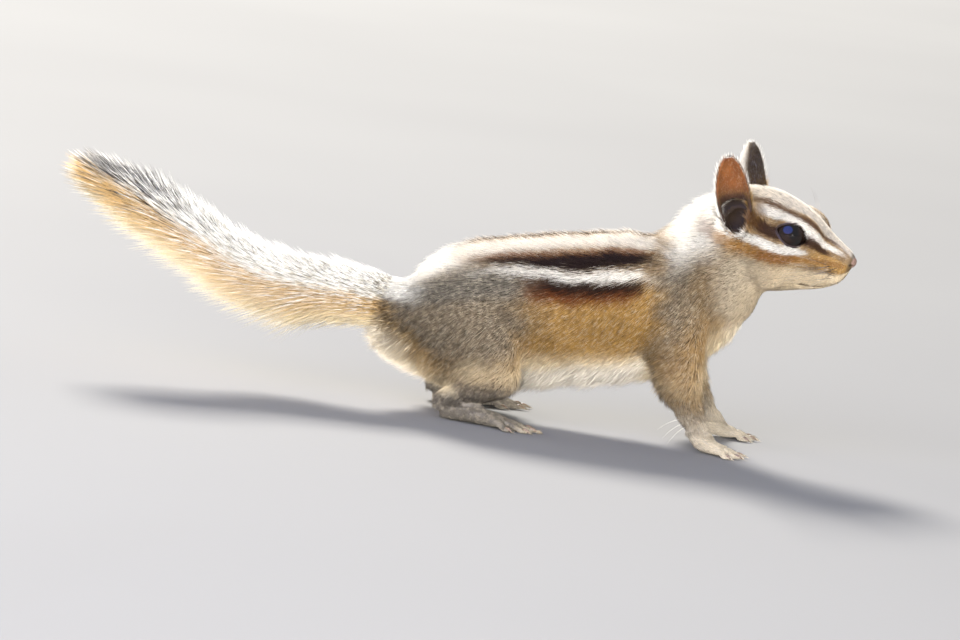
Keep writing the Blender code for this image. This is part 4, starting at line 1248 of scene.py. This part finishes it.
for _, way in SIDES:
    for k in range(14):
        x, z = draw.uniform(18.5, 22.3), draw.uniform(-4.2, -0.6)
        root = on_the_skin(tree, x, 15, z, way)
        aim = HEAD_TURN @ np.array([draw.uniform(-0.9, -0.1), way, draw.uniform(-0.35, 0.3)])
        sag = HEAD_TURN @ np.array([-0.22, 0, -0.1])
        whisker(root, aim, sag, draw.uniform(9, 17), 0.06)
    for k in range(3):
        root = from_head((10.5 + k * 0.8, way * 5.6, 8.4 - 0.5 * k))
        whisker(root, HEAD_TURN @ np.array([-0.5, way * 0.5, 0.9]), np.array([-0.2, 0, 0]), 7.0, 0.045)
    wrist = np.array([46.0 if way < 0 else 49.5, way * 14.8, 8.0]) + BODY_AT
    for k in range(3):
        aim = np.array([-0.9 - 0.1 * k, way * 0.15, -0.15 - 0.28 * k])
        whisker(wrist + [0.3 * k, 0, -1.0 * k], aim, np.array([0.12, 0, -0.3]), 7.5 - k, 0.06)
whiskers = link("whiskers", mesh_of(bm, "whiskers"))
whiskers.data.materials.append(whisker_hair)
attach(whiskers, "root")

# The floor: plain, pale and seamless paint under the four feet, far wider than
# the picture.
floor_paint, tree, shader = material("floor_paint")
colour = mixed(tree, noise(tree, 3.0, 2.0).step(0.3, 0.7), (0.25, 0.245, 0.238), (0.265, 0.26, 0.252))
plug(tree, shader, Base_Color=colour, Roughness=0.8)
bm = bmesh.new()
bmesh.ops.create_grid(bm, x_segments=1, y_segments=1, size=9.0)
floor = link("floor", mesh_of(bm, "floor"))
floor.data.materials.append(floor_paint)

# The light: a hard bright panel behind and above, that rims the back, nape, ears
# and tail, broad soft ones from the viewer's side and low down, one from behind for
# what the ground throws back, two that show only in the eyes, and a pale sky.
world = bpy.data.worlds.new("studio")
bpy.context.scene.world = world
world.use_nodes = True
sky = world.node_tree.nodes["Background"]
sky.inputs["Color"].default_value = (0.86, 0.91, 1.0, 1)
sky.inputs["Strength"].default_value = 0.5


def panel(name, place, aim, size, power, tint, without=None):
    """A flat lamp, placed in metres, without its glossy or its diffuse light where that is said."""
    light = bpy.data.lights.new(name, "AREA")
    light.shape = "RECTANGLE"
    light.size, light.size_y = size
    light.energy, light.color = power, tint
    thing = link(name, light)
    thing.location = Vector(place)
    thing.rotation_euler = (Vector(aim) - Vector(place)).to_track_quat("-Z", "Y").to_euler()
    if without:
        setattr(thing, "visible_" + without, False)
    return thing


panel("rim_light", (-0.9, 2.6, 2.2), (0, 0, 0.04), (0.9, 0.9), 222, (1.0, 0.97, 0.92))
panel("soft_light", (-0.75, -1.1, 0.65), (0, 0, 0.03), (1.3, 1.0), 13, (0.97, 0.98, 1.0), "glossy")
panel("low_light", (0.15, -1.1, 0.14), (0, 0, 0.03), (1.3, 0.24), 21, (1.0, 0.97, 0.92), "glossy")
panel("bounce_light", (-0.8, 0.3, 0.10), (-0.02, 0, 0.03), (0.5, 0.16), 9, (1.0, 0.94, 0.84), "glossy")
BLUE = (0.09, 0.20, 1.0)
sky_patch = panel("eye_light", (-0.36, -0.70, 0.66), (0.08, 0, 0.05), (1.35, 1.1), 17, BLUE, "diffuse")
sky_patch.data.shape = "ELLIPSE"
panel("glint_light", (0.24, -0.9, 0.12), (0.08, 0, 0.05), (0.16, 0.06), 0.25, (1.0, 0.95, 0.88), "diffuse")

# The camera: a long lens a little above the animal, rolled as the photograph's
# is, so that the back slopes as it does there. The photograph is 960 by 640.
PIXEL = 0.255  # one of its pixels at the animal, in millimetres
BODY_PIXEL = (500, 417)  # where the body's origin is in it
WIDE, TALL = 960, 640
SENSOR = 36.0
ROLL, RISE, FAR = math.radians(7.5), math.radians(8.0), 1360.0
level = np.array([1.0, 0.0, 0.0])
upright = np.array([0.0, math.sin(RISE), math.cos(RISE)])
ahead = np.array([0.0, math.cos(RISE), -math.sin(RISE)])
right = math.cos(ROLL) * level + math.sin(ROLL) * upright
top = -math.sin(ROLL) * level + math.cos(ROLL) * upright
target = BODY_AT + (WIDE / 2 - BODY_PIXEL[0]) * PIXEL * right + (BODY_PIXEL[1] - TALL / 2) * PIXEL * top
lens = bpy.data.cameras.new("camera")
lens.sensor_width = SENSOR
lens.lens = SENSOR * FAR / (WIDE * PIXEL)
lens.clip_start, lens.clip_end = 0.05, 50
camera = link("camera", lens)
turn = Matrix(np.column_stack([right, top, -ahead]).tolist()).to_4x4()
camera.matrix_world = Matrix.Translation(Vector(target - ahead * FAR) * MM) @ turn
bpy.context.scene.camera = camera
bpy.context.scene.view_settings.view_transform = "Standard"
